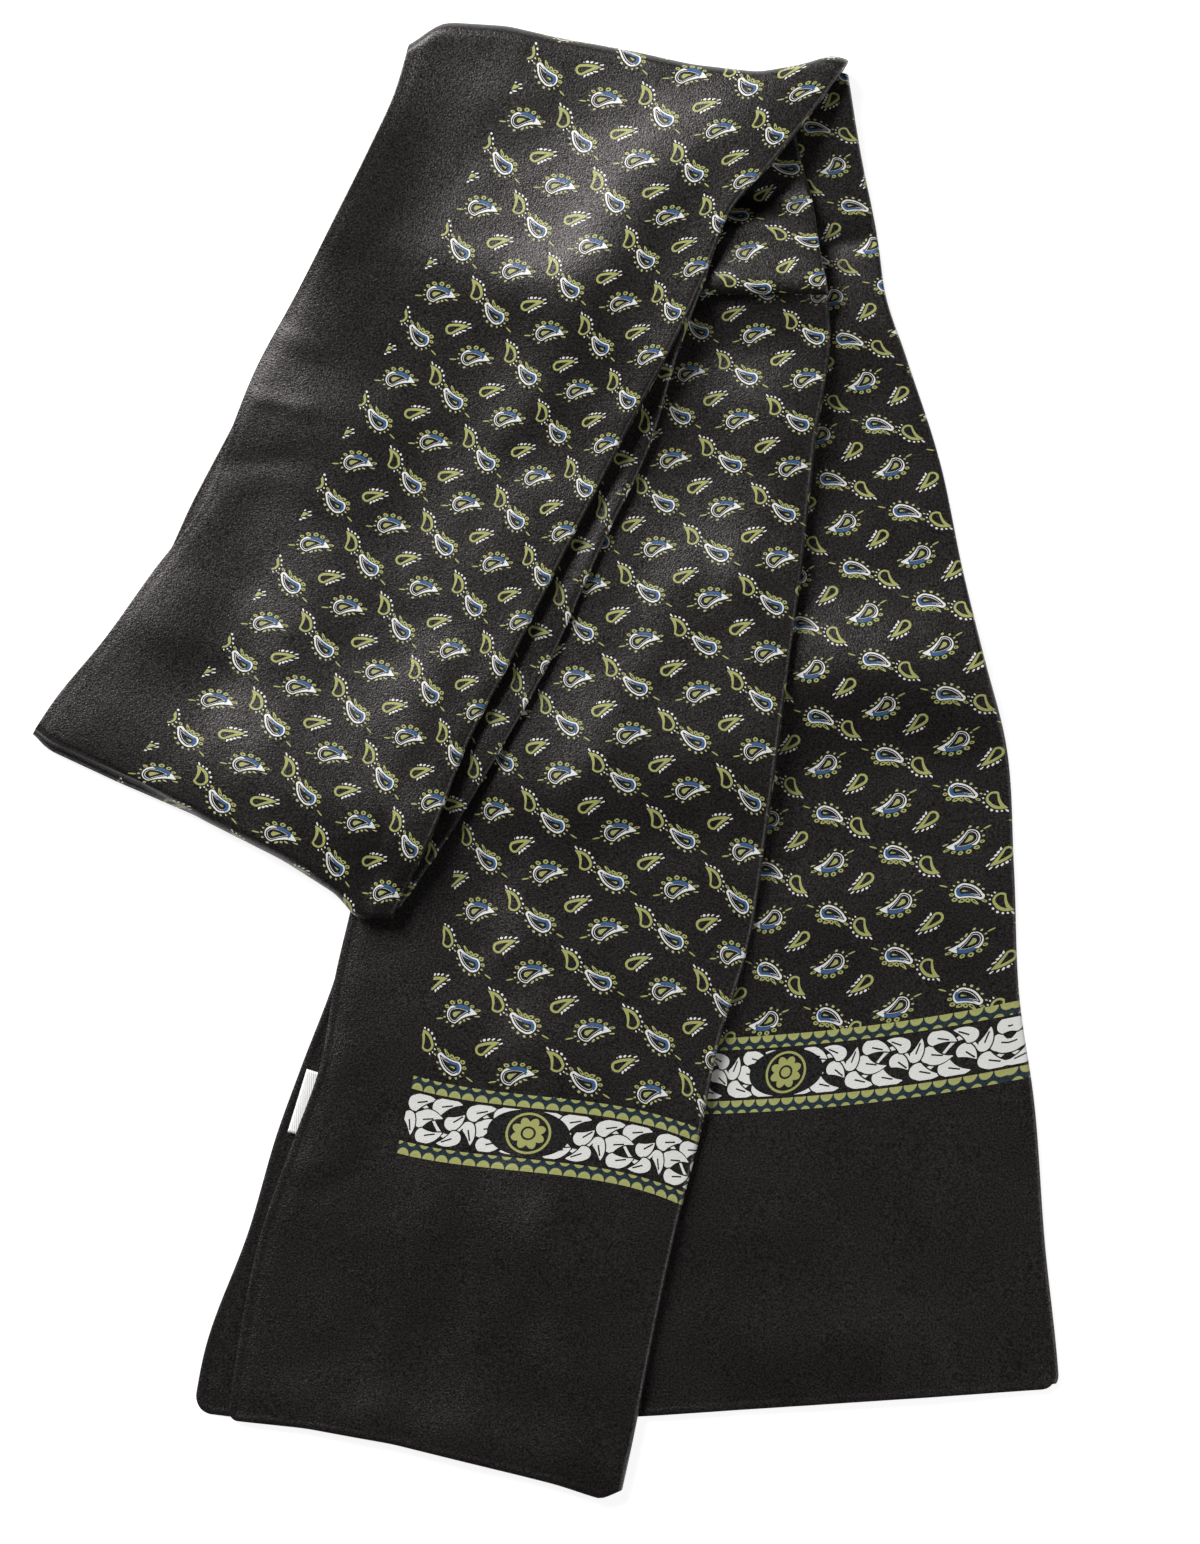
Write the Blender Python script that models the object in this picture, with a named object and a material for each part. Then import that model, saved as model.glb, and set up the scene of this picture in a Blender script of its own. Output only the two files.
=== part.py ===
"""An oblong satin neck scarf, folded in half along its length, then folded across and laid flat.

The cloth was cut 300 mm wide and 1600 mm long. Folded along its length it is a double band, 150 mm wide,
with the fold on its right and two free edges on its left. From its back end the band runs up to a bend
at the top, comes down over itself as a slanting flap, turns under at the lower left, goes back up under
the flap, and comes down once more as the front end, below a small tuck.

+X is the right of the laid scarf, +Y its upper end and +Z up. Sizes here are in millimetres.
"""

import math
from typing import NamedTuple

import bmesh
import bpy
import numpy as np

MM = 0.001

# Cloth
WALL = 1.0  # one ply
FLAP_WALL = 1.1  # the ply on top
RETURN_THICKNESS = 1.8  # two plies that lie on each other
TUCK_THICKNESS = 1.6
GAP = 0.4  # between pieces that lie on each other
FOLD_CLEARANCE = 1.2  # between an under ply's edge and the fold that goes round it
CORNER = 1.0  # rounding of a fold's upper corner

# Bends that wrap the layers below
BEND_REACH = 4.0  # how far a bend stands out past the layers in it
BEND_STEPS = 6
BEND_CLEARANCE = 0.5

# How the cloth settles over an edge below it
CELL = 2.0
SETTLE_RADIUS = 15.0
SETTLE_BLURS = 2
BED_HALF_WIDTH = 200.0
BED_HALF_LENGTH = 280.0

# The blank label sewn between the free edges
LABEL_LENGTH = 23.0
LABEL_WIDTH = 9.0
LABEL_THICKNESS = 0.5
LABEL_CENTRE = (-83.2, -119.3)
LABEL_LEAN = math.radians(17.0)

SATIN = (0.020, 0.017, 0.016, 1.0)
LABEL_WHITE = (0.86, 0.86, 0.85, 1.0)


class Section(NamedTuple):
    """The ends of a line across the band. The peeks say how far a ply below shows past each end."""

    left_x: float
    left_y: float
    right_x: float
    right_y: float
    left_peek: float = 0.0
    right_peek: float = 0.0


# From the hem up to the bend at the top. Its left side lies under the front end.
BACK_END = (
    Section(31, -229, 180, -219),
    Section(29, -217, 179, -207),
    Section(26, -183, 175, -170),
    Section(21, -136, 171, -118),
    Section(17, -101, 166, -83),
    Section(14, -53, 164, -37),
    Section(11, -5, 161, 8),
    Section(5, 24, 154, 35),
    Section(-3, 60, 146, 68),
    Section(-12, 101, 138, 106),
    Section(-25, 141, 126, 143),
    Section(-33, 167, 119, 164),
    Section(-35, 189, 116, 185),
    Section(-40, 220, 110, 215),
    Section(-44, 244, 106, 240),
)

# From the hem up to where the band goes under the tuck
FRONT_END = (
    Section(-112, -230, 26, -257, left_peek=12),
    Section(-109, -209, 30, -237, left_peek=11),
    Section(-100, -164, 39, -191, left_peek=4),
    Section(-88, -130, 47, -155, left_peek=6),
    Section(-80, -108, 53, -132, left_peek=6),
    Section(-74, -74, 60, -98, left_peek=-0.5),
    Section(-66.5, -41, 70, -65, left_peek=-1.5),
    Section(-61, 1, 77, -23),
    Section(-55, 43, 83, 24),
    Section(-52, 85, 89, 68),
    Section(-49, 124, 94, 113),
    Section(-46, 152, 99, 154),
    Section(-46, 177, 94, 178),
)

# From the tuck's fold up to the bend at the top
FRONT_TUCK = (
    Section(-44, 163.5, 98.5, 163.5),
    Section(-46, 182, 95, 182),
    Section(-46, 197, 93, 197),
    Section(-45, 212, 89, 212),
    Section(-43, 226, 86, 226),
    Section(-42, 238, 84, 234),
)

# From the bend at the top down to the bend at the lower left
FLAP = (
    Section(-48, 251, 105, 245),
    Section(-53, 234, 93, 228),
    Section(-60, 218, 78, 209),
    Section(-70, 197, 65, 194),
    Section(-86, 166, 54, 168, right_peek=1),
    Section(-100, 141, 43, 144, right_peek=3),
    Section(-109, 120, 26, 112, left_peek=2, right_peek=10),
    Section(-119, 93, 8, 77, left_peek=6, right_peek=11),
    Section(-138, 67, -12, 37, right_peek=12.5),
    Section(-154.5, 44, -28, 6, right_peek=11),
    Section(-171, 24, -40, -25, right_peek=5),
    Section(-180.5, 10, -53, -52, right_peek=0),
)


class EndPoint(NamedTuple):
    """How far the end of a stretch stands out at a place across it, from 0 at the left to 1 at the right."""

    across: float
    out: float


FLAP_TOP = (
    EndPoint(0.0, -1),
    EndPoint(0.035, 8),
    EndPoint(0.06, 9.5),
    EndPoint(0.2, 9),
    EndPoint(0.32, 5.5),
    EndPoint(0.5, 1.5),
    EndPoint(0.66, -3),
    EndPoint(0.82, -5),
    EndPoint(0.91, -1.5),
    EndPoint(0.97, 3),
    EndPoint(1.0, 1),
)
FLAP_FOOT = (
    EndPoint(0.0, -1),
    EndPoint(0.05, 2),
    EndPoint(0.25, 1.5),
    EndPoint(0.45, 0),
    EndPoint(0.7, 0.5),
    EndPoint(0.86, 3),
    EndPoint(0.94, 8),
    EndPoint(1.0, 3),
)
FRONT_HEM = (
    EndPoint(0.0, 0),
    EndPoint(0.2, -2.5),
    EndPoint(0.42, -3),
    EndPoint(0.65, -1.5),
    EndPoint(0.85, 0),
    EndPoint(0.97, 2),
    EndPoint(1.0, -3),
)
LEVEL_END = (EndPoint(0.0, 0), EndPoint(1.0, 0))


class Ridge(NamedTuple):
    """A soft fold that stands up from a stretch, along a line on the ground."""

    x0: float
    y0: float
    x1: float
    y1: float
    half_width: float
    height: float


BACK_RIDGES = (
    Ridge(92, 181, 122, 188, 5, 1.6),
    Ridge(85, 45, 165, 22, 17, 1.6),
    Ridge(95, 110, 150, 128, 15, 0.9),
    Ridge(70, -60, 175, -45, 20, 1.0),
    Ridge(75, -165, 130, -225, 22, 1.0),
)
FRONT_RIDGES = (
    Ridge(-20, -8, 75, -30, 17, 1.5),
    Ridge(45, 60, 10, -15, 12, 1.2),
    Ridge(60, 128, 92, 134, 12, 0.8),
    Ridge(-60, -95, 60, -110, 20, 0.9),
    Ridge(-30, -250, -10, -170, 16, 1.0),
)
TUCK_RIDGES = (
    Ridge(60, 186, 93, 196, 6, 1.2),
    Ridge(54, 171, 96, 168, 4, 0.8),
)
FLAP_RIDGES = (
    Ridge(72, 208, 48, 150, 8, 1.2),
    Ridge(42, 136, -18, 30, 7, 1.8),
    Ridge(-24, 18, -50, -32, 7, 1.4),
    Ridge(-70, 165, -130, 55, 18, 0.9),
    Ridge(-20, 225, -60, 130, 22, 0.8),
    Ridge(20, 180, -30, 85, 13, 0.9),
    Ridge(-85, 55, -110, 5, 16, 0.9),
    Ridge(-100, 152, -82, 146, 4, 1.0),
)
RETURN_RIDGES = (Ridge(46, 132, -22, 8, 4, 0.8),)

# Places across a stretch, closer together at its fold
ACROSS_WIDE = (0.0, 0.035, 0.09, 0.17, 0.26, 0.35, 0.44, 0.53, 0.62, 0.71, 0.79, 0.86, 0.91, 0.95, 0.98, 1.0)
ACROSS_TUCK = (0.0, 0.2, 0.4, 0.55, 0.65, 0.75, 0.83, 0.9, 0.96, 1.0)
ACROSS_HIDDEN = (0.0, 0.04, 0.13, 0.22, 0.32, 0.42, 0.52, 0.62, 0.72, 0.81, 0.89, 0.95, 1.0)


def smooth_rows(rows, places):
    """Reads a smooth curve through rows of left and right points, at places from 0 to 1 along it."""
    rows = np.array(rows, float)
    middle = (rows[:, 0:2] + rows[:, 2:4]) / 2
    steps = np.hypot(*np.diff(middle, axis=0).T)
    knots = np.concatenate([[0.0], np.cumsum(steps)]) / steps.sum()
    slopes = np.gradient(rows, knots, axis=0)
    places = np.asarray(places, float)
    before = np.clip(np.searchsorted(knots, places, side="right") - 1, 0, len(knots) - 2)
    span = (knots[before + 1] - knots[before])[:, None]
    t = (places - knots[before])[:, None] / span
    start = rows[before] * (2 * t**3 - 3 * t**2 + 1) + slopes[before] * span * (t**3 - 2 * t**2 + t)
    end = rows[before + 1] * (3 * t**2 - 2 * t**3) + slopes[before + 1] * span * (t**3 - t**2)
    return start + end


def end_shift(profile, across, along, length, reach=45.0):
    """How far a point moves out along the band, by the profile of the end at along = 0."""
    table = np.array(profile, float)
    out = np.interp(across, table[:, 0], table[:, 1])
    fade = np.clip(1 - along * length / reach, 0, 1) ** 2
    return fade[:, None] * out[None, :]


def plan_of(sections, across, along, start=LEVEL_END, end=LEVEL_END, side=0.0, left=0.0, right=0.0):
    """x and y for each place along and across a stretch. left and right move its edges out, in mm.

    side is 1 for a ply as wide as the peeks say, and 0 for one without them.
    """
    across = np.array(across, float)
    along = np.array(along, float)
    ends = smooth_rows(sections, along)
    left_points, right_points = ends[:, 0:2], ends[:, 2:4]
    way = right_points - left_points
    width = np.hypot(*way.T)[:, None]
    way = way / width
    left_points = left_points - way * (side * ends[:, 4:5] + left)
    right_points = right_points + way * (side * ends[:, 5:6] + right)
    grid = left_points[:, None] + (right_points - left_points)[:, None] * across[None, :, None]
    middle = ends[:, 0:2] / 2 + ends[:, 2:4] / 2
    length = np.hypot(*np.diff(middle, axis=0).T).sum()
    run = np.gradient(middle, axis=0)
    run = run / np.hypot(*run.T)[:, None]
    shift = end_shift(end, across, 1 - along, length) - end_shift(start, across, along, length)
    return grid + run[:, None] * shift[:, :, None]


def ridge_height(ridges, x, y):
    """The height that the soft folds add at x, y. Each fades out past its line's ends."""
    height = np.zeros_like(x)
    for ridge in ridges:
        way = np.array([ridge.x1 - ridge.x0, ridge.y1 - ridge.y0])
        length = np.hypot(*way)
        way = way / length
        forward = (x - ridge.x0) * way[0] + (y - ridge.y0) * way[1]
        aside = (y - ridge.y0) * way[0] - (x - ridge.x0) * way[1]
        past = np.maximum(np.maximum(-forward, forward - length), 0)
        fade = (aside / ridge.half_width) ** 2 + (past / (2 * ridge.half_width)) ** 2
        height += ridge.height * np.exp(-fade)
    return height


class Bed:
    """The height of all that lies below, over a grid on the floor."""

    def __init__(self):
        self.columns = int(2 * BED_HALF_WIDTH / CELL) + 1
        self.rows = int(2 * BED_HALF_LENGTH / CELL) + 1
        self.top = np.zeros((self.rows, self.columns))
        self.settled = self.top

    def lay(self, points):
        """Adds the top of a piece, given as a grid of points, and settles the bed again."""
        steps = 10
        for i in range(steps + 1):
            for j in range(steps + 1):
                s, t = i / steps, j / steps
                near = points[:-1, :-1] * (1 - t) + points[:-1, 1:] * t
                far = points[1:, :-1] * (1 - t) + points[1:, 1:] * t
                x, y, z = np.moveaxis(near * (1 - s) + far * s, -1, 0)
                column = np.rint((x + BED_HALF_WIDTH) / CELL).astype(int)
                row = np.rint((y + BED_HALF_LENGTH) / CELL).astype(int)
                np.maximum.at(self.top, (row, column), z + GAP)
        self.settled = self.settle()

    def settle(self):
        """Spreads the height outwards and softens its steps, and never goes below it."""
        reach = int(SETTLE_RADIUS / CELL)
        spread = self.top.copy()
        for i in range(-reach, reach + 1):
            for j in range(-reach, reach + 1):
                if i * i + j * j <= reach * reach:
                    spread = np.maximum(spread, np.roll(self.top, (i, j), (0, 1)))
        for _ in range(SETTLE_BLURS):
            for axis in (0, 1):
                spread = (np.roll(spread, 1, axis) + spread + np.roll(spread, -1, axis)) / 3
        return spread

    def snapshot(self):
        """The bed as it is now, for pieces that reach down past what is laid later."""
        kept = Bed()
        kept.settled = self.settled.copy()
        return kept

    def rest(self, x, y):
        """The height at which a piece rests at x, y."""
        column = (x + BED_HALF_WIDTH) / CELL
        row = (y + BED_HALF_LENGTH) / CELL
        i, j = np.floor(row).astype(int), np.floor(column).astype(int)
        s, t = row - i, column - j
        near = self.settled[i, j] * (1 - t) + self.settled[i, j + 1] * t
        far = self.settled[i + 1, j] * (1 - t) + self.settled[i + 1, j + 1] * t
        return near * (1 - s) + far * s


def raised(plan, heights):
    """Joins a plan's x and y with heights."""
    return np.concatenate([plan, heights[:, :, None]], axis=2)


def loft(name, rings, collection, material):
    """A closed body through rings of points that all have the same count."""
    mesh = bpy.data.meshes.new(name)
    body = bmesh.new()
    rows = [[body.verts.new(np.array(point) * MM) for point in ring] for ring in rings]
    for first, second in zip(rows, rows[1:]):
        for i in range(len(first)):
            j = (i + 1) % len(first)
            body.faces.new((first[i], first[j], second[j], second[i]))
    body.faces.new(rows[0][::-1])
    body.faces.new(rows[-1])
    bmesh.ops.triangulate(body, faces=body.faces)
    bmesh.ops.recalc_face_normals(body, faces=body.faces)
    if body.calc_volume(signed=True) < 0:
        bmesh.ops.reverse_faces(body, faces=body.faces)
    body.to_mesh(mesh)
    body.free()
    mesh.materials.append(material)
    mesh.shade_smooth()
    mesh.set_sharp_from_angle(angle=math.radians(35))
    piece = bpy.data.objects.new(name, mesh)
    collection.objects.link(piece)
    return piece


def open_ring(outer, inner):
    """A section whose two edges are both free."""
    return list(outer) + list(inner[::-1])


def folded_ring(outer, inner, depth):
    """A section whose right edge turns down by depth, as the fold along the band does."""
    edge = outer[-1]
    slope = edge - outer[-2]
    slope = slope / np.linalg.norm(slope)
    across = slope * (1, 1, 0)
    across = across / np.linalg.norm(across)
    down = inner[-1] - edge
    wall = np.linalg.norm(down)
    down = down / wall
    depth = max(depth, wall + 0.3)
    bevel = CORNER * (1 - math.sqrt(0.5))
    fold = [
        edge - slope * CORNER,
        edge - slope * bevel + down * bevel,
        edge + down * CORNER,
        edge + down * depth,
        edge - across * wall + down * depth,
        edge - across * wall + down * wall,
    ]
    return list(outer[:-1]) + fold + list(inner[:-1][::-1])


def round_ring(outer, inner):
    """A section with a rounded right edge, as thick as the whole slab."""
    edge = (outer[-1] + inner[-1]) / 2
    across = outer[-1] - outer[-2]
    across = across / np.linalg.norm(across)
    rim = [
        outer[-1] - across * CORNER,
        outer[-1] * 0.8 + inner[-1] * 0.2 - across * CORNER * 0.25,
        edge,
        outer[-1] * 0.2 + inner[-1] * 0.8 - across * CORNER * 0.25,
        inner[-1] - across * CORNER,
    ]
    return list(outer[:-1]) + rim + list(inner[:-1][::-1])


def bend(edge, inside, top, foot, wall):
    """Rows of outer and inner points that carry a wall round an end, from top down to foot."""
    way = edge - inside
    way = way / np.linalg.norm(way, axis=1)[:, None]
    middle, radius = (top + foot) / 2, (top - foot) / 2
    outer, inner = [], []
    for step in range(BEND_STEPS + 1):
        turn = math.pi / 2 - math.pi * step / BEND_STEPS
        for rows, thinner in ((outer, 0.0), (inner, wall)):
            out = -BEND_REACH + (BEND_REACH - thinner) * math.cos(turn)
            height = middle + (radius - thinner) * math.sin(turn)
            rows.append(np.column_stack([edge + way * out, height]))
    return np.array(outer), np.array(inner)


def evenly(count, start=0.0, end=1.0):
    """Places along a stretch."""
    return np.linspace(start, end, count)


def cloth_material(name, colour, roughness):
    """A plain finish of one colour."""
    material = bpy.data.materials.new(name)
    material.use_nodes = True
    shader = material.node_tree.nodes["Principled BSDF"]
    shader.inputs["Base Color"].default_value = colour
    shader.inputs["Roughness"].default_value = roughness
    shader.inputs["Metallic"].default_value = 0.0
    material.diffuse_color = colour
    return material


def lay_ply(name, plan, bed, ridges, wall, ring, collection, material, foot=None):
    """Lays a ply on the bed and builds it. foot is the bed that its folded edge reaches down to."""
    x, y = plan[:, :, 0], plan[:, :, 1]
    lower = bed.rest(x, y) + ridge_height(ridges, x, y)
    inner, outer = raised(plan, lower), raised(plan, lower + wall)
    if foot is None:
        rings = [ring(*rows) for rows in zip(outer, inner)]
    else:
        depths = outer[:, -1, 2] - foot.rest(x[:, -1], y[:, -1])
        rings = [ring(*rows) for rows in zip(outer, inner, depths)]
    loft(name, rings, collection, material)
    bed.lay(outer)


def build_back_end(bed, collection):
    """The band's back end: an under ply on the floor and an upper ply that folds down at the right."""
    floor = bed.snapshot()
    satin = cloth_material("back_satin", SATIN, 0.45)
    under = plan_of(
        BACK_END, ACROSS_HIDDEN, evenly(24, 0.004), left=-1, right=-WALL - FOLD_CLEARANCE, end=FLAP_TOP
    )
    lay_ply("back_end_under_ply", under, bed, (), WALL, open_ring, collection, satin)
    upper = plan_of(BACK_END, ACROSS_WIDE, evenly(36), end=FLAP_TOP)
    lay_ply("back_end", upper, bed, BACK_RIDGES, WALL, folded_ring, collection, satin, foot=floor)


def build_label(bed, collection):
    """A blank strip that shows past the front end's upper ply."""
    along = np.array([math.sin(LABEL_LEAN), math.cos(LABEL_LEAN)])
    across = np.array([along[1], -along[0]])
    places = np.linspace(-0.5, 0.5, 4)
    lengthwise = along * LABEL_LENGTH * places[:, None, None]
    plan = np.array(LABEL_CENTRE) + lengthwise + across * LABEL_WIDTH * places[None, :, None]
    white = cloth_material("label_tape", LABEL_WHITE, 0.6)
    lay_ply("blank_label", plan, bed, (), LABEL_THICKNESS, open_ring, collection, white)


def build_front_end(bed, collection):
    """The band's front end, whose under ply shows at the left, with the label between the plies."""
    below = bed.snapshot()
    satin = cloth_material("front_satin", SATIN, 0.45)
    shape = dict(start=FRONT_HEM)
    under = plan_of(
        FRONT_END, ACROSS_HIDDEN, evenly(22, 0.004), side=1, left=0.5, right=-WALL - FOLD_CLEARANCE, **shape
    )
    lay_ply("front_end_under_ply", under, bed, (), WALL, open_ring, collection, satin)
    build_label(bed, collection)
    upper = plan_of(FRONT_END, ACROSS_WIDE, evenly(34), **shape)
    lay_ply("front_end", upper, bed, FRONT_RIDGES, WALL, folded_ring, collection, satin, foot=below)


def build_front_tuck(bed, collection):
    """The stretch above the tuck. Its lower end is the tuck's fold, which lies on the front end."""
    satin = cloth_material("tuck_satin", SATIN, 0.45)
    along = (0.0, 0.012, 0.05, 0.12, 0.2, 0.3, 0.42, 0.56, 0.7, 0.85, 1.0)
    plan = plan_of(FRONT_TUCK, ACROSS_TUCK, along)
    x, y = plan[:, :, 0], plan[:, :, 1]
    lower = bed.rest(x, y) + ridge_height(TUCK_RIDGES, x, y)
    upper = lower + TUCK_THICKNESS
    lower[0] += 0.4 * TUCK_THICKNESS
    upper[0] -= 0.4 * TUCK_THICKNESS
    rings = [round_ring(*rows) for rows in zip(raised(plan, upper), raised(plan, lower))]
    loft("front_tuck", rings, collection, satin)
    bed.lay(raised(plan, upper))


def inside_bends(plan):
    """Draws a plan's first and last rows in, clear of the bends that wrap them."""
    for edge, inside in ((0, 1), (-1, -2)):
        way = plan[edge] - plan[inside]
        way = way / np.linalg.norm(way, axis=1)[:, None]
        plan[edge] -= way * (BEND_REACH + BEND_CLEARANCE)
    return plan


def build_flap(bed, collection):
    """The slanting flap on top, its under ply, and the two plies that return below it."""
    below = bed.snapshot()
    floor = Bed()
    satin = cloth_material("flap_satin", SATIN, 0.45)
    shape = dict(start=FLAP_TOP, end=FLAP_FOOT)

    back = plan_of(FLAP, ACROSS_WIDE, evenly(26), side=1, left=-1.5, **shape)
    back = inside_bends(back)
    lay_ply("flap_return", back, bed, RETURN_RIDGES, RETURN_THICKNESS, round_ring, collection, satin)
    on_return = bed.snapshot()

    under = plan_of(FLAP, ACROSS_HIDDEN, evenly(18), left=0.0, right=-FLAP_WALL - FOLD_CLEARANCE, **shape)
    under = inside_bends(under)
    lay_ply("flap_under_ply", under, bed, (), WALL, open_ring, collection, satin)

    plan = plan_of(FLAP, ACROSS_WIDE, evenly(34), **shape)
    x, y = plan[1:-1, :, 0], plan[1:-1, :, 1]
    lower = bed.rest(x, y) + ridge_height(FLAP_RIDGES, x, y)
    inner, outer = raised(plan[1:-1], lower), raised(plan[1:-1], lower + FLAP_WALL)
    depths = outer[:, -1, 2] - on_return.rest(x[:, -1], y[:, -1])
    top = bend(plan[0], plan[1], outer[0, :, 2], floor.rest(*plan[0].T), FLAP_WALL)
    foot = bend(plan[-1], plan[-2], outer[-1, :, 2], below.rest(*plan[-1].T), FLAP_WALL)
    rings = [folded_ring(*rows, 0.0) for rows in zip(top[0][::-1], top[1][::-1])]
    rings += [folded_ring(*rows) for rows in zip(outer, inner, depths)]
    rings += [folded_ring(*rows, 0.0) for rows in zip(*foot)]
    loft("flap", rings, collection, satin)


def centre_on_origin(collection):
    """Moves the whole scarf so that the middle of its box stands over the origin, on the floor."""
    points = [v.co for piece in collection.objects for v in piece.data.vertices]
    low = np.min(points, axis=0)
    high = np.max(points, axis=0)
    shift = ((low[0] + high[0]) / 2, (low[1] + high[1]) / 2, low[2])
    for piece in collection.objects:
        for vertex in piece.data.vertices:
            vertex.co.x -= shift[0]
            vertex.co.y -= shift[1]
            vertex.co.z -= shift[2]
    print("shift to the origin, mm:", [round(float(value) / MM, 3) for value in shift])


def main():
    for old in list(bpy.data.objects):
        bpy.data.objects.remove(old, do_unlink=True)
    collection = bpy.data.collections.new("neck_scarf")
    bpy.context.scene.collection.children.link(collection)
    bed = Bed()
    build_back_end(bed, collection)
    build_front_end(bed, collection)
    build_front_tuck(bed, collection)
    build_flap(bed, collection)
    centre_on_origin(collection)


main()
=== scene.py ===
"""The looks of a folded satin neck scarf, laid flat: thin cloth, its print, a blank label and the light.

Plans and heights are in millimetres in the plan's own frame, as the solids were made, and the cloth is
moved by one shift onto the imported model. Each stretch of the scarf is one sheet, folded along its right edge.
"""

import math
from typing import NamedTuple

import bpy
import numpy as np
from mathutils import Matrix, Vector


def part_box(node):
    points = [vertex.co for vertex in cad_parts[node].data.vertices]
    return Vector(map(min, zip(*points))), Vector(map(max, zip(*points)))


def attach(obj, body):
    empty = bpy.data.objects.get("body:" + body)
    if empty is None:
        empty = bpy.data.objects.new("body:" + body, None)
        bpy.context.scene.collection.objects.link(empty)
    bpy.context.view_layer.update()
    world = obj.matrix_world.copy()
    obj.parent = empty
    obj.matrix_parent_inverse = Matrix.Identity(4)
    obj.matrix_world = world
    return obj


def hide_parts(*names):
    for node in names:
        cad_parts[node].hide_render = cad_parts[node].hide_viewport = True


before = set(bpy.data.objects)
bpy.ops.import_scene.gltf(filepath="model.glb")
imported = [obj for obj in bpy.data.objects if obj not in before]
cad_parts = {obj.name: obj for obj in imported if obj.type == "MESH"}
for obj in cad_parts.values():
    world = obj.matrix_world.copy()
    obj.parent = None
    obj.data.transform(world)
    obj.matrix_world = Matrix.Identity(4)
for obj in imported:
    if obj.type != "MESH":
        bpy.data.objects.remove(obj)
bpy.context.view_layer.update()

MM = 0.001

# The scarf folded in half along its length
BAND_WIDTH = 150.0

# Walls of the solids below this cloth, the gap between them, and how much of the tuck turns under
WALL = 1.0
FLAP_WALL = 1.1
RETURN_THICKNESS = 1.8
TUCK_THICKNESS = 1.6
TUCK_TURN = 2.5
GAP = 0.4
LABEL_THICKNESS = 0.5

# Bends that wrap the layers below
BEND_REACH = 4.0
BEND_STEPS = 14
BEND_CLEARANCE = 0.5
# How much tighter the under ply bends, and how far the lower-left bend is held in at places across it
UNDER_BEND = 1.3
LIP_PLACES = (0.0, 0.08, 0.3, 0.48, 1.0)
LIP_DEPTHS = (1.5, 3.2, 3.0, 0.0, 0.0)

# How the cloth settles over an edge below it
CELL = 2.0
SETTLE_RADIUS = 15.0
SETTLE_BLURS = 4
BED_HALF_WIDTH = 200.0
BED_HALF_LENGTH = 280.0

# The blank label sewn between the free edges
LABEL_LENGTH = 23.0
LABEL_WIDTH = 9.0
LABEL_CENTRE = (-83.2, -119.3)
LABEL_LEAN = math.radians(17.0)
LABEL_CURL = 0.25

# The thin cloth, how far apart its points are, and how loosely an under ply lies
CLOTH = 0.3
STEP = 2.0
HIDDEN_STEP = 6.0
FLOOR_GAP = 0.05
SNUG_GAP = 0.1
LOOSE_GAP = 0.15
FOLD_REACH = 1.3
FOLD_STEPS = 8
HEM_WIDTH = 3.0
HEM_RISE = 0.16
HEM_SLOPE = 1.2
HEM_EDGE = 0.9
FLAP_HEM = 0.35
HEM_PLACES = (0.0, 0.4, 1.0, 2.0, 2.7, 3.1, 3.6, 4.6, 6.0)
FOLD_PLACES = (0.0, 0.6, 1.3, 2.2, 3.4, 5.0)
BACK_CORNER = 5.0
FRONT_CORNER = 4.0
FRONT_UNDER_CORNER = 7.0


def table(kind, *rows):
    """Rows of one kind, which names their columns."""
    return tuple(kind(*row) for row in rows)


class Section(NamedTuple):
    """The ends of a line across the band. The peeks say how far a ply below shows past each end."""

    left_x: float
    left_y: float
    right_x: float
    right_y: float
    left_peek: float = 0.0
    right_peek: float = 0.0


# From the hem up to the bend at the top. Its left side lies under the front end.
BACK_END = table(
    Section,
    (31, -229, 180, -219),
    (29, -217, 179, -207),
    (26, -183, 175, -170),
    (21, -136, 171, -118),
    (17, -101, 166, -83),
    (14, -53, 164, -37),
    (11, -5, 161, 8),
    (5, 24, 154, 35),
    (-3, 60, 146, 68),
    (-12, 101, 138, 106),
    (-25, 141, 126, 143),
    (-33, 167, 119, 164),
    (-35, 189, 116, 185),
    (-40, 220, 110, 215),
    (-44, 244, 106, 240),
)

# From the hem up to where the band goes under the tuck
FRONT_END = table(
    Section,
    (-112, -230, 26, -257, 12),
    (-109, -209, 30, -237, 11),
    (-100, -164, 39, -191, 4),
    (-88, -130, 47, -155, 6),
    (-80, -108, 53, -132, 6),
    (-74, -74, 60, -98, -0.5),
    (-66.5, -41, 70, -65, -1.5),
    (-61, 1, 77, -23),
    (-55, 43, 83, 24),
    (-52, 85, 89, 68),
    (-49, 124, 94, 113),
    (-46, 152, 99, 154),
    (-46, 177, 94, 178),
)

# From the tuck's fold up to the bend at the top
FRONT_TUCK = table(
    Section,
    (-44, 163.5, 98.5, 163.5),
    (-46, 182, 95, 182),
    (-46, 197, 93, 197),
    (-45, 212, 89, 212),
    (-43, 226, 86, 226),
    (-42, 238, 84, 234),
)

# From the bend at the top down to the bend at the lower left
FLAP = table(
    Section,
    (-48, 251, 105, 245),
    (-53, 234, 93, 228),
    (-60, 218, 78, 209),
    (-70, 197, 65, 194),
    (-86, 166, 54, 168, 0, 1),
    (-100, 141, 43, 144, 0, 3),
    (-109, 120, 26, 112, 2, 10),
    (-119, 93, 8, 77, 6, 11),
    (-138, 67, -12, 37, 0, 12.5),
    (-154.5, 44, -28, 6, 0, 11),
    (-171, 24, -40, -25, 0, 5),
    (-180.5, 10, -53, -52, 0, 0),
)


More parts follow.
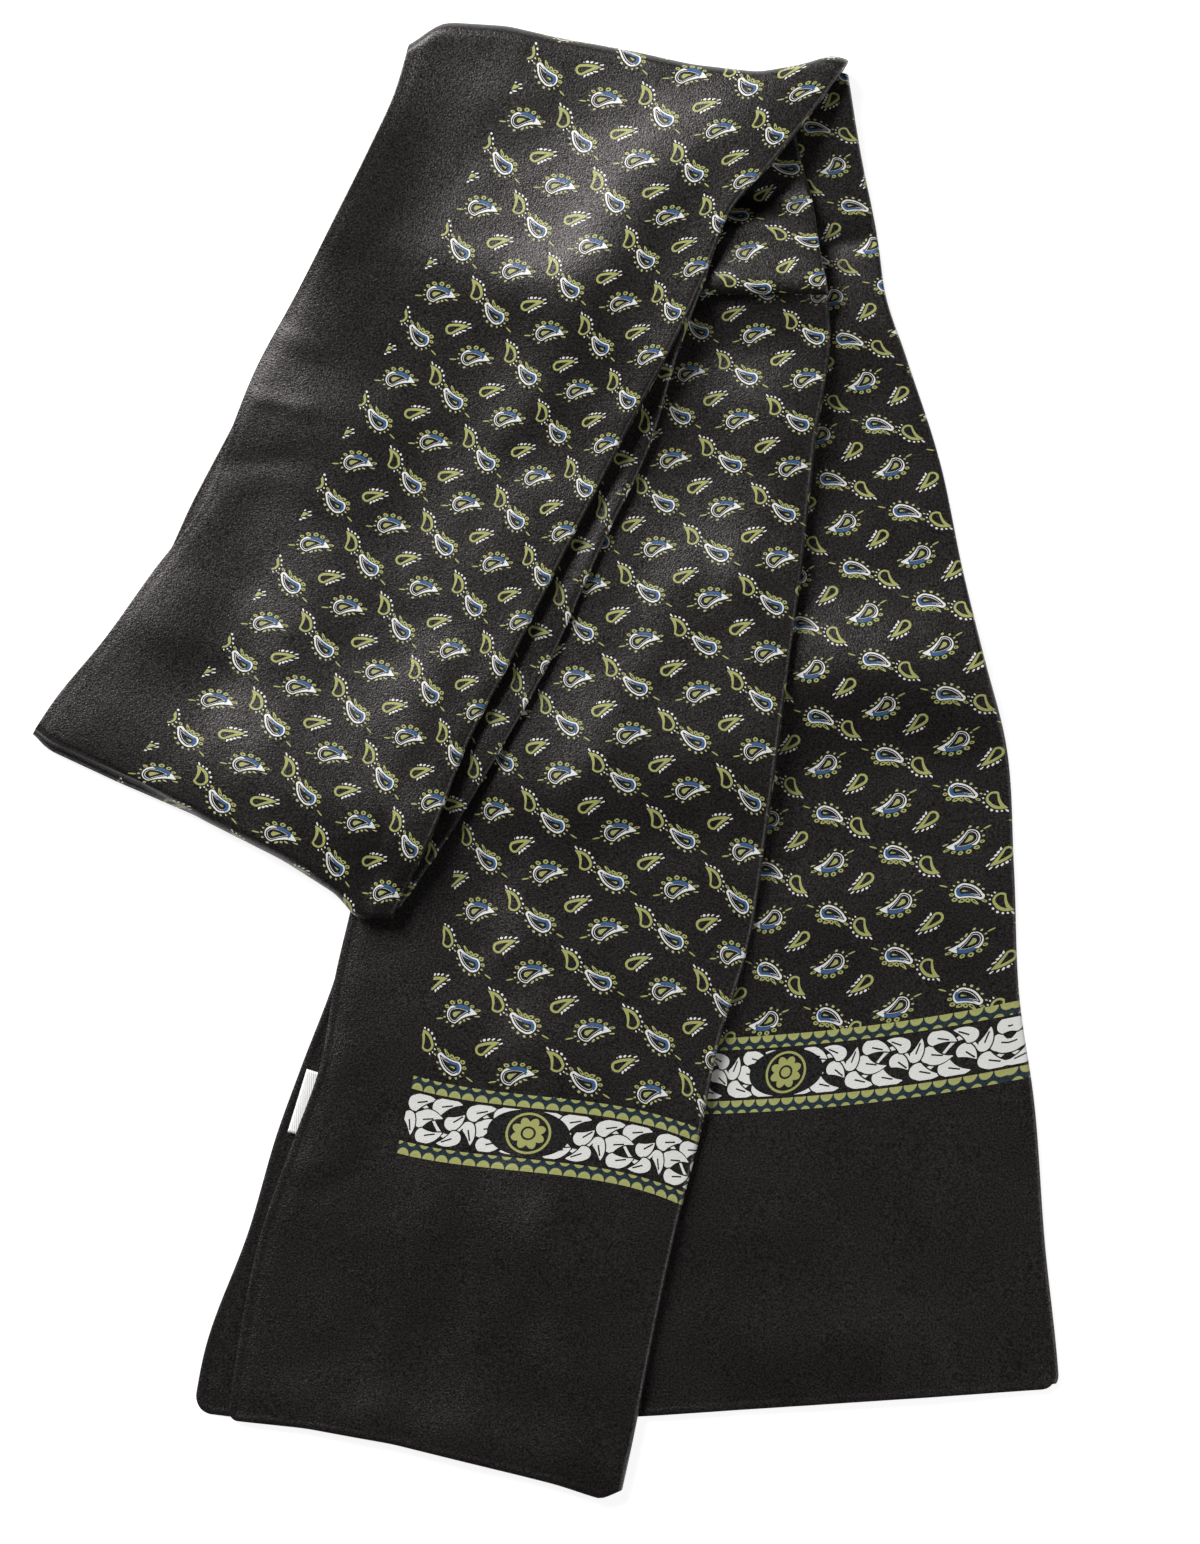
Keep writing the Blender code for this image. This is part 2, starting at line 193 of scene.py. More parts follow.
class EndPoint(NamedTuple):
    """How far the end of a stretch stands out at a place across it, from 0 at the left to 1 at the right."""

    across: float
    out: float


FLAP_TOP = table(
    EndPoint,
    (0.0, -1),
    (0.035, 8),
    (0.06, 9.5),
    (0.2, 9),
    (0.32, 5.5),
    (0.5, 1.5),
    (0.66, -3),
    (0.82, -5),
    (0.91, -1.5),
    (0.97, 3),
    (1.0, 1),
)
FLAP_FOOT = table(
    EndPoint,
    (0.0, -1),
    (0.05, 2),
    (0.25, 1.5),
    (0.45, 0),
    (0.7, 0.5),
    (0.86, 3),
    (0.94, 8),
    (1.0, 3),
)
FRONT_HEM = table(
    EndPoint,
    (0.0, 0),
    (0.2, -2.5),
    (0.42, -3),
    (0.65, -1.5),
    (0.85, 0),
    (0.97, 2),
    (1.0, -3),
)
LEVEL_END = (EndPoint(0.0, 0), EndPoint(1.0, 0))


class Ridge(NamedTuple):
    """A soft fold along a line on the ground. Its height is below 0 for a trough."""

    x0: float
    y0: float
    x1: float
    y1: float
    half_width: float
    height: float


BACK_RIDGES = table(
    Ridge,
    (92, 181, 122, 188, 5, 1.6),
    (85, 45, 165, 22, 17, 1.6),
    (95, 110, 150, 128, 15, 0.9),
    (70, -60, 175, -45, 20, 1.0),
    (75, -165, 130, -225, 22, 1.0),
)
FRONT_RIDGES = table(
    Ridge,
    (-20, -8, 75, -30, 17, 1.5),
    (45, 60, 10, -15, 12, 1.2),
    (60, 128, 92, 134, 12, 0.8),
    (-60, -95, 60, -110, 20, 0.9),
    (-30, -250, -10, -170, 16, 1.0),
)
TUCK_RIDGES = table(
    Ridge,
    (60, 186, 93, 196, 6, 1.2),
    (54, 171, 96, 168, 4, 0.8),
)
FLAP_RIDGES = table(
    Ridge,
    (72, 208, 48, 150, 8, 1.2),
    (42, 136, -18, 30, 7, 1.8),
    (-24, 18, -50, -32, 7, 1.4),
    (-70, 165, -130, 55, 18, 0.9),
    (-20, 225, -60, 130, 22, 0.8),
    (20, 180, -30, 85, 13, 0.9),
    (-85, 55, -110, 5, 16, 0.9),
    (-100, 152, -82, 146, 4, 1.0),
)
RETURN_RIDGES = (Ridge(46, 132, -22, 8, 4, 0.8),)


class Swell(NamedTuple):
    """A broad soft rise in the cloth: its middle, its two half widths and how far it is turned."""

    x: float
    y: float
    half_length: float
    half_width: float
    turn: float
    height: float


BACK_SWELLS = table(
    Swell,
    (112, 256, 28, 54, 0, 6.4),
    (108, 151, 40, 19, 8, 3.8),
    (120, 30, 70, 20, 4, 5.4),
    (125, 1, 60, 11, 4, -0.8),
    (115, 60, 50, 26, 6, 1.6),
    (110, -150, 60, 34, 10, 1.0),
    (90, -205, 50, 16, 5, 1.3),
)
FRONT_SWELLS = table(
    Swell,
    (76, 165, 28, 14, -3, 4.0),
    (34, 135, 34, 13, 62, 1.4),
    (35, 2, 60, 21, -4, 3.0),
    (35, -26, 50, 11, -4, -0.8),
    (67, 67, 11, 14, 0, 1.8),
    (84, 110, 22, 26, 0, 3.6),
    (16, 60, 18, 32, -20, 1.4),
    (-45, -235, 60, 14, -11, 1.4),
    (-40, -160, 50, 28, -12, 1.1),
)
FLAP_SWELLS = table(
    Swell,
    (-34, 262, 60, 31, -8, 3.1),
    (-86, 214, 26, 40, 20, 8.0),
    (-62, 222, 30, 16, 68, 1.6),
    (-94, 148, 46, 15, 65, 2.2),
    (-14, 169, 42, 18, -5, 3.2),
    (0, 128, 16, 15, 0, 1.0),
    (-76, 118, 40, 26, -18, 2.4),
    (-104, -9, 66, 28, -25, 4.6),
    (-128, 48, 28, 20, -15, 2.0),
    (-55, -40, 12, 12, -25, -1.6),
    (36, 165, 50, 11, 60, -0.8),
    (4, 85, 78, 26, 61, 1.2),
    (-40, 218, 30, 20, 10, -1.0),
    (14, 238, 26, 18, 20, 1.0),
)

# Smaller creases that only the thin cloth has
BACK_CREASES = table(
    Ridge,
    (90, 180, 126, 188, 5, -2.8),
    (90, 181, 127, 188, 2.2, -0.7),
    (100, 60, 150, 70, 8, -0.4),
)
FRONT_CREASES = table(
    Ridge,
    (75, 158, 97, 160, 4, -0.5),
    (-40, -160, -60, -225, 9, 0.5),
)
TUCK_CREASES = table(
    Ridge,
    (60, 205, 88, 214, 4, 0.5),
    (50, 168, 99, 166, 8, 2.2),
    (52, 166.5, 97, 164.5, 1.6, 0.4),
)
FLAP_CREASES = table(
    Ridge,
    (-100, 152, -82, 146, 4, -0.6),
    (-97, 127, -84, 124, 3, 0.4),
    (-108, 105, -92, 106, 4, -0.4),
    (-62, 186, -40, 178, 7, 0.5),
    (-57, -46, -46, -30, 3, 0.7),
    (-62, -40, -58, -25, 2.5, -0.6),
    (72, 208, 48, 150, 8, -1.0),
    (42, 136, -18, 30, 7, -1.0),
    (-24, 18, -50, -32, 7, -0.9),
)
RETURN_CREASES = table(
    Ridge,
    (46, 132, -22, 8, 4, -0.5),
    (28, 96, 10, 60, 3, 0.4),
)


class Mark(NamedTuple):
    """Where a motif's place in the print, counted across and along, lies on the plan."""

    across: float
    along: float
    x: float
    y: float


FLAP_MARKS = table(
    Mark,
    (-2, -11, -135.8, -3.5), (-1, -11, -113.8, -12.8), (1, -11, -73.1, -36.8),
    (-2, -9, -115.7, 22.0), (0, -9, -75.1, 3.8), (2, -8, -31.5, 3.4),
    (-1, -7, -77.7, 41.3), (1, -7, -41.5, 26.4), (2, -6, -16.0, 34.9),
    (-2, -5, -80.4, 76.8), (0, -5, -41.5, 60.3), (2, -4, -0.5, 64.6),
    (-2, -3, -65.6, 105.1), (1, -3, -9.9, 84.9), (-1, -2, -40.0, 112.2),
    (2, -2, 13.2, 95.7), (-1, 0, -25.9, 141.9), (1, 0, 11.3, 129.6),
    (-2, 2, -29.7, 179.4), (0, 2, 8.5, 164.5), (1, 2, 25.4, 160.7),
    (-2, 4, -15.2, 209.2), (0, 4, 24.8, 195.2), (1, 4, 44.2, 191.0),
    (-2, 6, 0.5, 240.1), (0, 6, 41.1, 226.1), (-1, 7, 29.7, 245.6),
    (1, 7, 69.7, 235.2),
)
FRONT_MARKS = table(
    Mark,
    (-3, -7, -34.4, -104.2), (-1, -7, 12.3, -111.2), (1, -7, 56.1, -120.5),
    (-2, -6, -6.4, -89.0), (0, -6, 39.1, -97.8), (-3, -5, -24.4, -69.2),
    (-1, -5, 21.6, -75.0), (1, -5, 65.4, -84.9), (-3, -3, -19.2, -33.6),
    (-1, -3, 25.7, -39.4), (1, -3, 70.1, -47.6), (-2, -1, 5.3, -2.1),
    (0, -1, 49.1, -9.7), (1, -1, 70.1, -12.0), (-2, 1, 8.0, 30.7),
    (0, 1, 51.4, 23.6), (1, 2, 76.8, 37.7), (-1, 3, 35.8, 59.9),
    (0, 4, 59.4, 73.1), (1, 5, 82.5, 88.2), (-1, 6, 43.9, 106.0),
    (0, 7, 68.4, 119.7), (1, 8, 91.4, 135.3), (-1, 8, 50.9, 136.7),
    (0, 9, 73.5, 151.3),
    # The band's upper and lower borders, and the hem
    (-1.45, -7.64, 0.2, -121.8), (-3.56, -8.83, -55.8, -139.7), (1.1, -8.83, 48.5, -158.2),
    (-5.17, -14.4, -112.2, -230.0), (1.1, -14.4, 25.7, -256.9),
)
BACK_MARKS = table(
    Mark,
    (-1, -9, 105.0, 149.3), (-1, -7, 116.4, 118.9), (0, -7, 95.9, 113.5),
    (-1, -5, 125.8, 87.7), (0, -4, 107.6, 66.4), (-1, -3, 132.4, 57.4),
    (0, -2, 114.2, 35.6), (1, -2, 91.1, 32.9), (-1, -1, 141.1, 25.2),
    (0, 0, 120.2, 2.1), (1, 0, 97.2, -0.1), (-1, 1, 146.6, -10.0),
    (1, 2, 99.9, -34.7), (2, 1, 79.0, -19.9), (-1, 3, 146.9, -45.5),
    (2, 3, 77.2, -54.8), (0, 4, 121.9, -68.2), (2, 5, 76.3, -90.8),
    (0, 5, 123.0, -85.3), (-1, 5, 146.6, -82.0),
    # The band's two borders
    (-1.75, 5.25, 165.8, -83.1), (2.5, 5.25, 65.8, -95.7), (2.6, 6.73, 60.3, -123.7),
    (-1.9, 6.73, 169.1, -110.0),
)
TUCK_MARKS = table(
    Mark,
    (1, 11, 91.4, 182.4), (0, 11, 70.6, 178.9), (1, 12, 89.4, 195.7),
    (1, 13, 83.9, 208.5),
)
RETURN_MARKS = table(
    Mark,
    (0.5, 7.5, 31.0, 116.9), (0.5, 3.5, 12.8, 73.2), (0.5, -0.5, -27.5, -2.1),
    (1.5, 7.5, 50.5, 107.5),
)


class Print(NamedTuple):
    """A stretch's marks, its place along the whole print, and where the print's left edge falls."""

    marks: tuple
    order: int
    along: float
    edge: float


# The print repeats every 22.4 mm across and 18 mm along, with the kinds of motif in turn
ACROSS_PITCH = 22.4
ALONG_PITCH = 18.0
FIELD_WIDTH = 228.0
FRONT_PRINT = Print(FRONT_MARKS, 3, 20.0, -3.56)
FLAP_PRINT = Print(FLAP_MARKS, 3, 40.0, -2.42)
TUCK_PRINT = Print(TUCK_MARKS, 1, 20.0, -3.56)
RETURN_PRINT = Print(RETURN_MARKS, 1, 40.0, -3.5)
# The back end's fold is at -1.62, 114 mm in from the print's left edge
BACK_PRINT = Print(BACK_MARKS, 2, 60.0, -1.62 - 114.0 / ACROSS_PITCH)
FRONT_BAND = 20.0 - 8.83
BACK_BAND = 60.0 + 5.25
# Between the two stretches' places along the print
PRINT_MIDDLE = 50.0

# The printed bands: a border, the ornament and a border again, in mm from the band's outer edge
BAND_HEIGHT = 26.3
BORDER_HEIGHT = 4.3
SECOND_BORDER = BAND_HEIGHT - BORDER_HEIGHT
DOME_PITCH = 4.6
SCROLL_HEIGHT = 15.8
SCROLL_PITCH = 21.0
SCROLL_SWING = 4.4
ROSETTE_PITCH = 89.6
FIRST_ROSETTE = 42.1

# How many columns the print's rate is taken over where it runs on round a fold
RATE_SPAN = 8
# Places across a solid, closer together at its fold
ACROSS_WIDE = (0.0, 0.035, 0.09, 0.17, 0.26, 0.35, 0.44, 0.53, 0.62, 0.71, 0.79, 0.86, 0.91, 0.95, 0.98, 1.0)
# Where an under ply's solid begins along its stretch
UNDER_START = 0.004


def smooth_rows(rows, places):
    """Reads a smooth curve through rows of left and right points, at places from 0 to 1 along it."""
    rows = np.array(rows, float)
    middle = (rows[:, 0:2] + rows[:, 2:4]) / 2
    steps = np.hypot(*np.diff(middle, axis=0).T)
    knots = np.concatenate([[0.0], np.cumsum(steps)]) / steps.sum()
    slopes = np.gradient(rows, knots, axis=0)
    places = np.asarray(places, float)
    before = np.clip(np.searchsorted(knots, places, side="right") - 1, 0, len(knots) - 2)
    span = (knots[before + 1] - knots[before])[:, None]
    t = (places - knots[before])[:, None] / span
    start = rows[before] * (2 * t**3 - 3 * t**2 + 1) + slopes[before] * span * (t**3 - 2 * t**2 + t)
    end = rows[before + 1] * (3 * t**2 - 2 * t**3) + slopes[before + 1] * span * (t**3 - t**2)
    return start + end


def band_length(sections):
    """The length of a stretch along its middle, in mm."""
    rows = np.array(sections, float)
    middle = (rows[:, 0:2] + rows[:, 2:4]) / 2
    return np.hypot(*np.diff(middle, axis=0).T).sum()


def soft_profile(profile, across, reach=0.022):
    """Reads an end's profile with its corners rounded."""
    places, outs = np.array(profile, float).T
    near = [np.interp(across + offset, places, outs) for offset in np.linspace(-reach, reach, 9)]
    return np.mean(near, axis=0)


def end_shift(profile, across, along, length, reach=45.0):
    """How far a point moves out along the band, by the profile of the end at along = 0."""
    out = soft_profile(profile, across)
    fade = np.clip(1 - along * length / reach, 0, 1) ** 2
    return fade[:, None] * out[None, :]


def plan_of(sections, across, along, start=LEVEL_END, end=LEVEL_END, side=0.0, left=0.0, right=0.0):
    """x and y for each place along and across a stretch. left and right move its edges out, in mm."""
    across = np.array(across, float)
    along = np.array(along, float)
    ends = smooth_rows(sections, along)
    left_points, right_points = ends[:, 0:2], ends[:, 2:4]
    way = right_points - left_points
    width = np.hypot(*way.T)[:, None]
    way = way / width
    left_points = left_points - way * (side * ends[:, 4:5] + left)
    right_points = right_points + way * (side * ends[:, 5:6] + right)
    grid = left_points[:, None] + (right_points - left_points)[:, None] * across[None, :, None]
    middle = ends[:, 0:2] / 2 + ends[:, 2:4] / 2
    run = np.gradient(middle, axis=0)
    run = run / np.hypot(*run.T)[:, None]
    length = band_length(sections)
    shift = end_shift(end, across, 1 - along, length) - end_shift(start, across, along, length)
    return grid + run[:, None] * shift[:, :, None]


def swell_height(swell, x, y):
    """The height that a broad rise adds at x, y."""
    turn = math.radians(swell.turn)
    forward = (x - swell.x) * math.cos(turn) + (y - swell.y) * math.sin(turn)
    aside = (y - swell.y) * math.cos(turn) - (x - swell.x) * math.sin(turn)
    return swell.height * np.exp(-((forward / swell.half_length) ** 2) - (aside / swell.half_width) ** 2)


def ridge_height(ridge, x, y):
    """The height that a soft fold adds at x, y. It fades out past its line's ends."""
    way = np.array([ridge.x1 - ridge.x0, ridge.y1 - ridge.y0])
    length = np.hypot(*way)
    way = way / length
    forward = (x - ridge.x0) * way[0] + (y - ridge.y0) * way[1]
    aside = (y - ridge.y0) * way[0] - (x - ridge.x0) * way[1]
    past = np.maximum(np.maximum(-forward, forward - length), 0)
    fade = (aside / ridge.half_width) ** 2 + (past / (2 * ridge.half_width)) ** 2
    return ridge.height * np.exp(-fade)


def relief(forms, x, y):
    """The height that all of a stretch's soft folds and swells add at x, y."""
    height = np.zeros_like(x)
    for form in forms:
        height += swell_height(form, x, y) if isinstance(form, Swell) else ridge_height(form, x, y)
    return height


def waves(x, y, seed, count=14, shortest=13.0, longest=48.0, height=0.16):
    """Low uneven waves, as loose cloth has."""
    chance = np.random.default_rng(seed)
    total = np.zeros_like(x)
    for _ in range(count):
        length = chance.uniform(shortest, longest)
        turn = chance.uniform(0, math.pi)
        phase = chance.uniform(0, 2 * math.pi)
        bend = chance.uniform(-0.5, 0.5)
        forward = x * math.cos(turn) + y * math.sin(turn)
        aside = y * math.cos(turn) - x * math.sin(turn)
        swing = bend * np.sin(aside * 2 * math.pi / (longest * 2.3) + phase)
        total += height * (length / longest) * np.sin(forward * 2 * math.pi / length + phase + 2.5 * swing)
    return total / math.sqrt(count / 2)


class Bed:
    """The height of all that lies below, over a grid on the floor."""

    def __init__(self):
        self.columns = int(2 * BED_HALF_WIDTH / CELL) + 1
        self.rows = int(2 * BED_HALF_LENGTH / CELL) + 1
        self.top = np.zeros((self.rows, self.columns))
        self.settled = self.top

    def lay(self, points):
        """Adds the top of a piece, given as a grid of points, and settles the bed again."""
        steps = 10
        for i in range(steps + 1):
            for j in range(steps + 1):
                s, t = i / steps, j / steps
                near = points[:-1, :-1] * (1 - t) + points[:-1, 1:] * t
                far = points[1:, :-1] * (1 - t) + points[1:, 1:] * t
                x, y, z = np.moveaxis(near * (1 - s) + far * s, -1, 0)
                column = np.rint((x + BED_HALF_WIDTH) / CELL).astype(int)
                row = np.rint((y + BED_HALF_LENGTH) / CELL).astype(int)
                np.maximum.at(self.top, (row, column), z + GAP)
        self.settled = self.settle()

    def settle(self):
        """Spreads the height outwards and softens its steps, and never goes below it."""
        reach = int(SETTLE_RADIUS / CELL)
        spread = self.top.copy()
        for i in range(-reach, reach + 1):
            for j in range(-reach, reach + 1):
                if i * i + j * j <= reach * reach:
                    spread = np.maximum(spread, np.roll(self.top, (i, j), (0, 1)))
        for _ in range(SETTLE_BLURS):
            for axis in (0, 1):
                spread = (np.roll(spread, 1, axis) + spread + np.roll(spread, -1, axis)) / 3
        return spread

    def snapshot(self):
        """The bed as it is now, for pieces that reach down past what is laid later."""
        kept = Bed()
        kept.settled = self.settled.copy()
        return kept

    def rest(self, x, y):
        """The height at which a piece rests at x, y."""
        column = (x + BED_HALF_WIDTH) / CELL
        row = (y + BED_HALF_LENGTH) / CELL
        i, j = np.floor(row).astype(int), np.floor(column).astype(int)
        s, t = row - i, column - j
        near = self.settled[i, j] * (1 - t) + self.settled[i, j + 1] * t
        far = self.settled[i + 1, j] * (1 - t) + self.settled[i + 1, j + 1] * t
        return near * (1 - s) + far * s


def raised(plan, heights):
    """Joins a plan's x and y with heights."""
    return np.concatenate([plan, heights[:, :, None]], axis=2)


def spaced(length, start=(0.0,), end=(0.0,), step=STEP):
    """Places from 0 to 1 along a length in mm, with given places near its start and its end."""
    count = int(math.ceil((length - start[-1] - end[-1]) / step)) + 1
    middle = np.linspace(start[-1], length - end[-1], count)
    last = [length - place for place in reversed(end[:-1])]
    return np.concatenate([start[:-1], middle, last]) / length


def hem(distance):
    """The extra height of a narrow rolled hem at a distance in mm from the cloth's edge."""
    inner = np.clip((HEM_WIDTH - distance) / HEM_SLOPE, 0, 1)
    outer = np.clip(distance / HEM_EDGE, 0, 1)
    return HEM_RISE * inner * inner * (3 - 2 * inner) * np.sqrt(outer)


def round_corner(plan, across, along, radius, at_right=False):
    """Rounds the corner of a ply where its foot, at along = 0, meets its left edge or its fold."""
    beside = (1 - across if at_right else across) * BAND_WIDTH
    a = np.clip(radius - beside, 0, None)[None, :]
    b = np.clip(radius - along, 0, None)[:, None]
    reach = np.hypot(a, b)
    keep = np.where(reach > 0, np.maximum(a, b) / np.maximum(reach, 1e-9), 1.0)
    keep = np.where((a > 0) & (b > 0), keep, 1.0)
    column, step = (-1, -2) if at_right else (0, 1)
    inward = plan[0, step] - plan[0, column]
    upward = plan[1, column] - plan[0, column]
    inward = inward / np.linalg.norm(inward)
    upward = upward / np.linalg.norm(upward)
    return plan + ((1 - keep) * a)[:, :, None] * inward + ((1 - keep) * b)[:, :, None] * upward


def print_places(kind, plan):
    """Where each point of a plan lies in the print: places across and along, and mm in from its left edge."""
    marks = np.array(kind.marks, float)
    powers = [(a, b) for a in range(kind.order + 1) for b in range(kind.order + 1 - a)]

    def terms(x, y):
        return np.stack([(x / 100) ** a * (y / 100) ** b for a, b in powers], axis=-1)

    fit = np.linalg.lstsq(terms(marks[:, 2], marks[:, 3]), marks[:, 0:2], rcond=None)[0]
    across, along = np.moveaxis(terms(plan[:, :, 0], plan[:, :, 1]) @ fit, -1, 0)
    inside = (across - kind.edge) * ACROSS_PITCH
    return np.stack([across, along + kind.along, inside], axis=-1)


def run_on(places, points, extra):
    """Carries the print past the last column of a grid onto the extra columns that follow it."""
    back = -1 - RATE_SPAN
    distance = np.linalg.norm(points[:, -1] - points[:, back], axis=1)
    rate = (places[:, -1] - places[:, back]) / distance[:, None]
    steps = np.linalg.norm(np.diff(np.concatenate([points[:, -1:], extra], axis=1), axis=1), axis=2)
    return places[:, -1:] + np.cumsum(steps, axis=1)[:, :, None] * rate[:, None]


def fold_arc(upper, under):
    """Columns that carry the cloth round its fold, from the upper ply's edge to the under ply's."""
    way = upper[:, -1] - upper[:, -3]
    way[:, 2] = 0
    way = way / np.linalg.norm(way, axis=1)[:, None]
    columns = []
    for step in range(1, FOLD_STEPS):
        turn = math.pi * step / FOLD_STEPS
        share = (1 - math.cos(turn)) / 2
        middle = upper[:, -1] * (1 - share) + under[:, -1] * share
        columns.append(middle + way * FOLD_REACH * math.sin(turn))
    return np.stack(columns, axis=1)


def hairpin(upper, under, places):
    """A double ply as one grid of points: the upper ply to its fold, the fold, and the under ply back."""
    extra = np.concatenate([fold_arc(upper, under), under[:, ::-1]], axis=1)
    points = np.concatenate([upper, extra], axis=1)
    return points, np.concatenate([places, run_on(places, upper, extra)], axis=1)


def cloth_piece(name, points, places, material, shift):
    """A thin sheet through a grid of points, with its place in the print on each point."""
    rows, columns = points.shape[:2]
    corner = (np.arange(rows - 1)[:, None] * columns + np.arange(columns - 1)[None, :]).ravel()
    faces = np.stack([corner, corner + 1, corner + columns + 1, corner + columns], axis=1)
    ahead = points[1, 0] - points[0, 0]
    beside = points[0, 1] - points[0, 0]
    if beside[0] * ahead[1] - beside[1] * ahead[0] < 0:
        faces = faces[:, ::-1]
    mesh = bpy.data.meshes.new(name)
    mesh.from_pydata(((points.reshape(-1, 3) - shift) * MM).tolist(), [], faces.tolist())
    places = places.reshape(-1, 3).copy()
    places[:, 2] = np.minimum(places[:, 2], FIELD_WIDTH - places[:, 2])
    layer = mesh.attributes.new("print_place", "FLOAT_VECTOR", "POINT")
    layer.data.foreach_set("vector", places.astype(np.float32).ravel())
    mesh.materials.append(material)
    mesh.shade_smooth()
    piece = bpy.data.objects.new(name, mesh)
    bpy.context.scene.collection.objects.link(piece)
    thick = piece.modifiers.new("cloth", "SOLIDIFY")
    thick.thickness = CLOTH * MM
    thick.offset = -1
    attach(piece, "root")
    return piece


def ply_height(bed, plan, forms, seed=None, share=1.0):
    """The height at which a ply rests, with its folds and swells and a share of its own low waves."""
    x, y = plan[:, :, 0], plan[:, :, 1]
    height = bed.rest(x, y) + relief(forms, x, y)
    if seed is not None:
        height += waves(x, y, seed) * share
    return height


def solid_plan(sections, rows, first=0.0, **edges):
    """The plan of a stretch's solid, from a place along it to its end."""
    return plan_of(sections, ACROSS_WIDE, np.linspace(first, 1, rows), **edges)


def lay_solid(bed, plan, forms, wall):
    """Lays a solid ply on the bed, for what lies on it."""
    bed.lay(raised(plan, ply_height(bed, plan, forms) + wall))


def places_across(start=HEM_PLACES):
    """Places across an upper ply, and wider ones across the ply that it hides."""
    return spaced(BAND_WIDTH, start, FOLD_PLACES), spaced(BAND_WIDTH, start, FOLD_PLACES, HIDDEN_STEP)


def ply_pair(sections, under_side, under_left, along, ends):
    """The plans of an upper ply and its under ply, with the same rows."""
    across, hidden = places_across()
    upper = plan_of(sections, across, along, right=-FOLD_REACH, **ends)
    under = plan_of(sections, hidden, along, side=under_side, left=under_left, right=-FOLD_REACH, **ends)
    return upper, under, across, hidden


def edge_distance(across, along, length):
    """How far each point of a ply is from its free edge at the left and its hem at the start, in mm."""
    return np.minimum(across[None, :] * BAND_WIDTH, (along * length)[:, None])


def drape(across, top, low, reach=9.0):
    """How high in its solid wall a ply lies: near its free edge it comes down onto the ply below."""
    t = np.clip(across * BAND_WIDTH / reach, 0, 1)
    return low + (top - low) * t * t * (3 - 2 * t)


def build_back(bed, material, shift):
    """The back end: a hem at its foot and the fold at its right."""
    length = band_length(BACK_END)
    along = spaced(length, HEM_PLACES, (0.0,))
    ends = dict(end=FLAP_TOP)
    upper, under, across, hidden = ply_pair(BACK_END, 0.0, -1.0, along, ends)
    upper = round_corner(upper, across, along * length, BACK_CORNER, at_right=True)
    under = round_corner(under, hidden, along * length, BACK_CORNER, at_right=True)
    low = np.full(under.shape[:2], CLOTH + FLOOR_GAP)
    lay_solid(bed, solid_plan(BACK_END, 24, UNDER_START, left=-1, **ends), (), WALL)
    height = ply_height(bed, upper, BACK_RIDGES + BACK_SWELLS + BACK_CREASES, 11)
    height += drape(across, top=0.85, low=0.35)[None, :] * WALL + hem(edge_distance(across, along, length))
    points, places = hairpin(raised(upper, height), raised(under, low), print_places(BACK_PRINT, upper))
    piece = cloth_piece("back_cloth", points, places, material, shift)
    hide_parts("back_end", "back_end_under_ply")
    lay_solid(bed, solid_plan(BACK_END, 36, **ends), BACK_RIDGES + BACK_SWELLS, WALL)


def build_front(bed, material, shift):
    """The front end: the under ply and the label show past its free edge."""
    length = band_length(FRONT_END)
    along = spaced(length, HEM_PLACES, (0.0,))
    ends = dict(start=FRONT_HEM)
    upper, under, across, hidden = ply_pair(FRONT_END, 1.0, 0.5, along, ends)
    upper = round_corner(upper, across, along * length, FRONT_CORNER)
    under = round_corner(under, hidden, along * length, FRONT_UNDER_CORNER)
    low = ply_height(bed, under, (), 21, 0.4) + CLOTH + LOOSE_GAP
    low += hem(edge_distance(hidden, along, length))
    lay_solid(bed, solid_plan(FRONT_END, 22, UNDER_START, side=1, left=0.5, **ends), (), WALL)
    label = build_label(bed, shift)
    height = ply_height(bed, upper, FRONT_RIDGES + FRONT_SWELLS + FRONT_CREASES, 22)
    height += drape(across, top=0.85, low=0.35)[None, :] * WALL + hem(edge_distance(across, along, length))
    points, places = hairpin(raised(upper, height), raised(under, low), print_places(FRONT_PRINT, upper))
    piece = cloth_piece("front_cloth", points, places, material, shift)
    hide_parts("front_end", "front_end_under_ply")
    lay_solid(bed, solid_plan(FRONT_END, 34, **ends), FRONT_RIDGES + FRONT_SWELLS, WALL)


def label_plan(rows, columns):
    """A grid of points over the label, which leans with the free edges."""
    lengthwise = np.array([math.sin(LABEL_LEAN), math.cos(LABEL_LEAN)])
    widthwise = np.array([lengthwise[1], -lengthwise[0]])
    along = np.linspace(-0.5, 0.5, rows)[:, None, None] * LABEL_LENGTH
    across = np.linspace(-0.5, 0.5, columns)[None, :, None] * LABEL_WIDTH
    return np.array(LABEL_CENTRE) + lengthwise * along + widthwise * across


def build_label(bed, shift):
    """A blank strip of white tape, sewn in between the two free edges."""
    columns = 12
    plan = label_plan(24, columns)
    curl = LABEL_CURL * np.linspace(1, 0, columns)[None, :] ** 2
    points = raised(plan, ply_height(bed, plan, ()) + LABEL_THICKNESS + curl)
    piece = cloth_piece("label", points, np.zeros_like(points), label_material(), shift)
    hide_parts("blank_label")
    lay_solid(bed, label_plan(4, 4), (), LABEL_THICKNESS)
    return piece


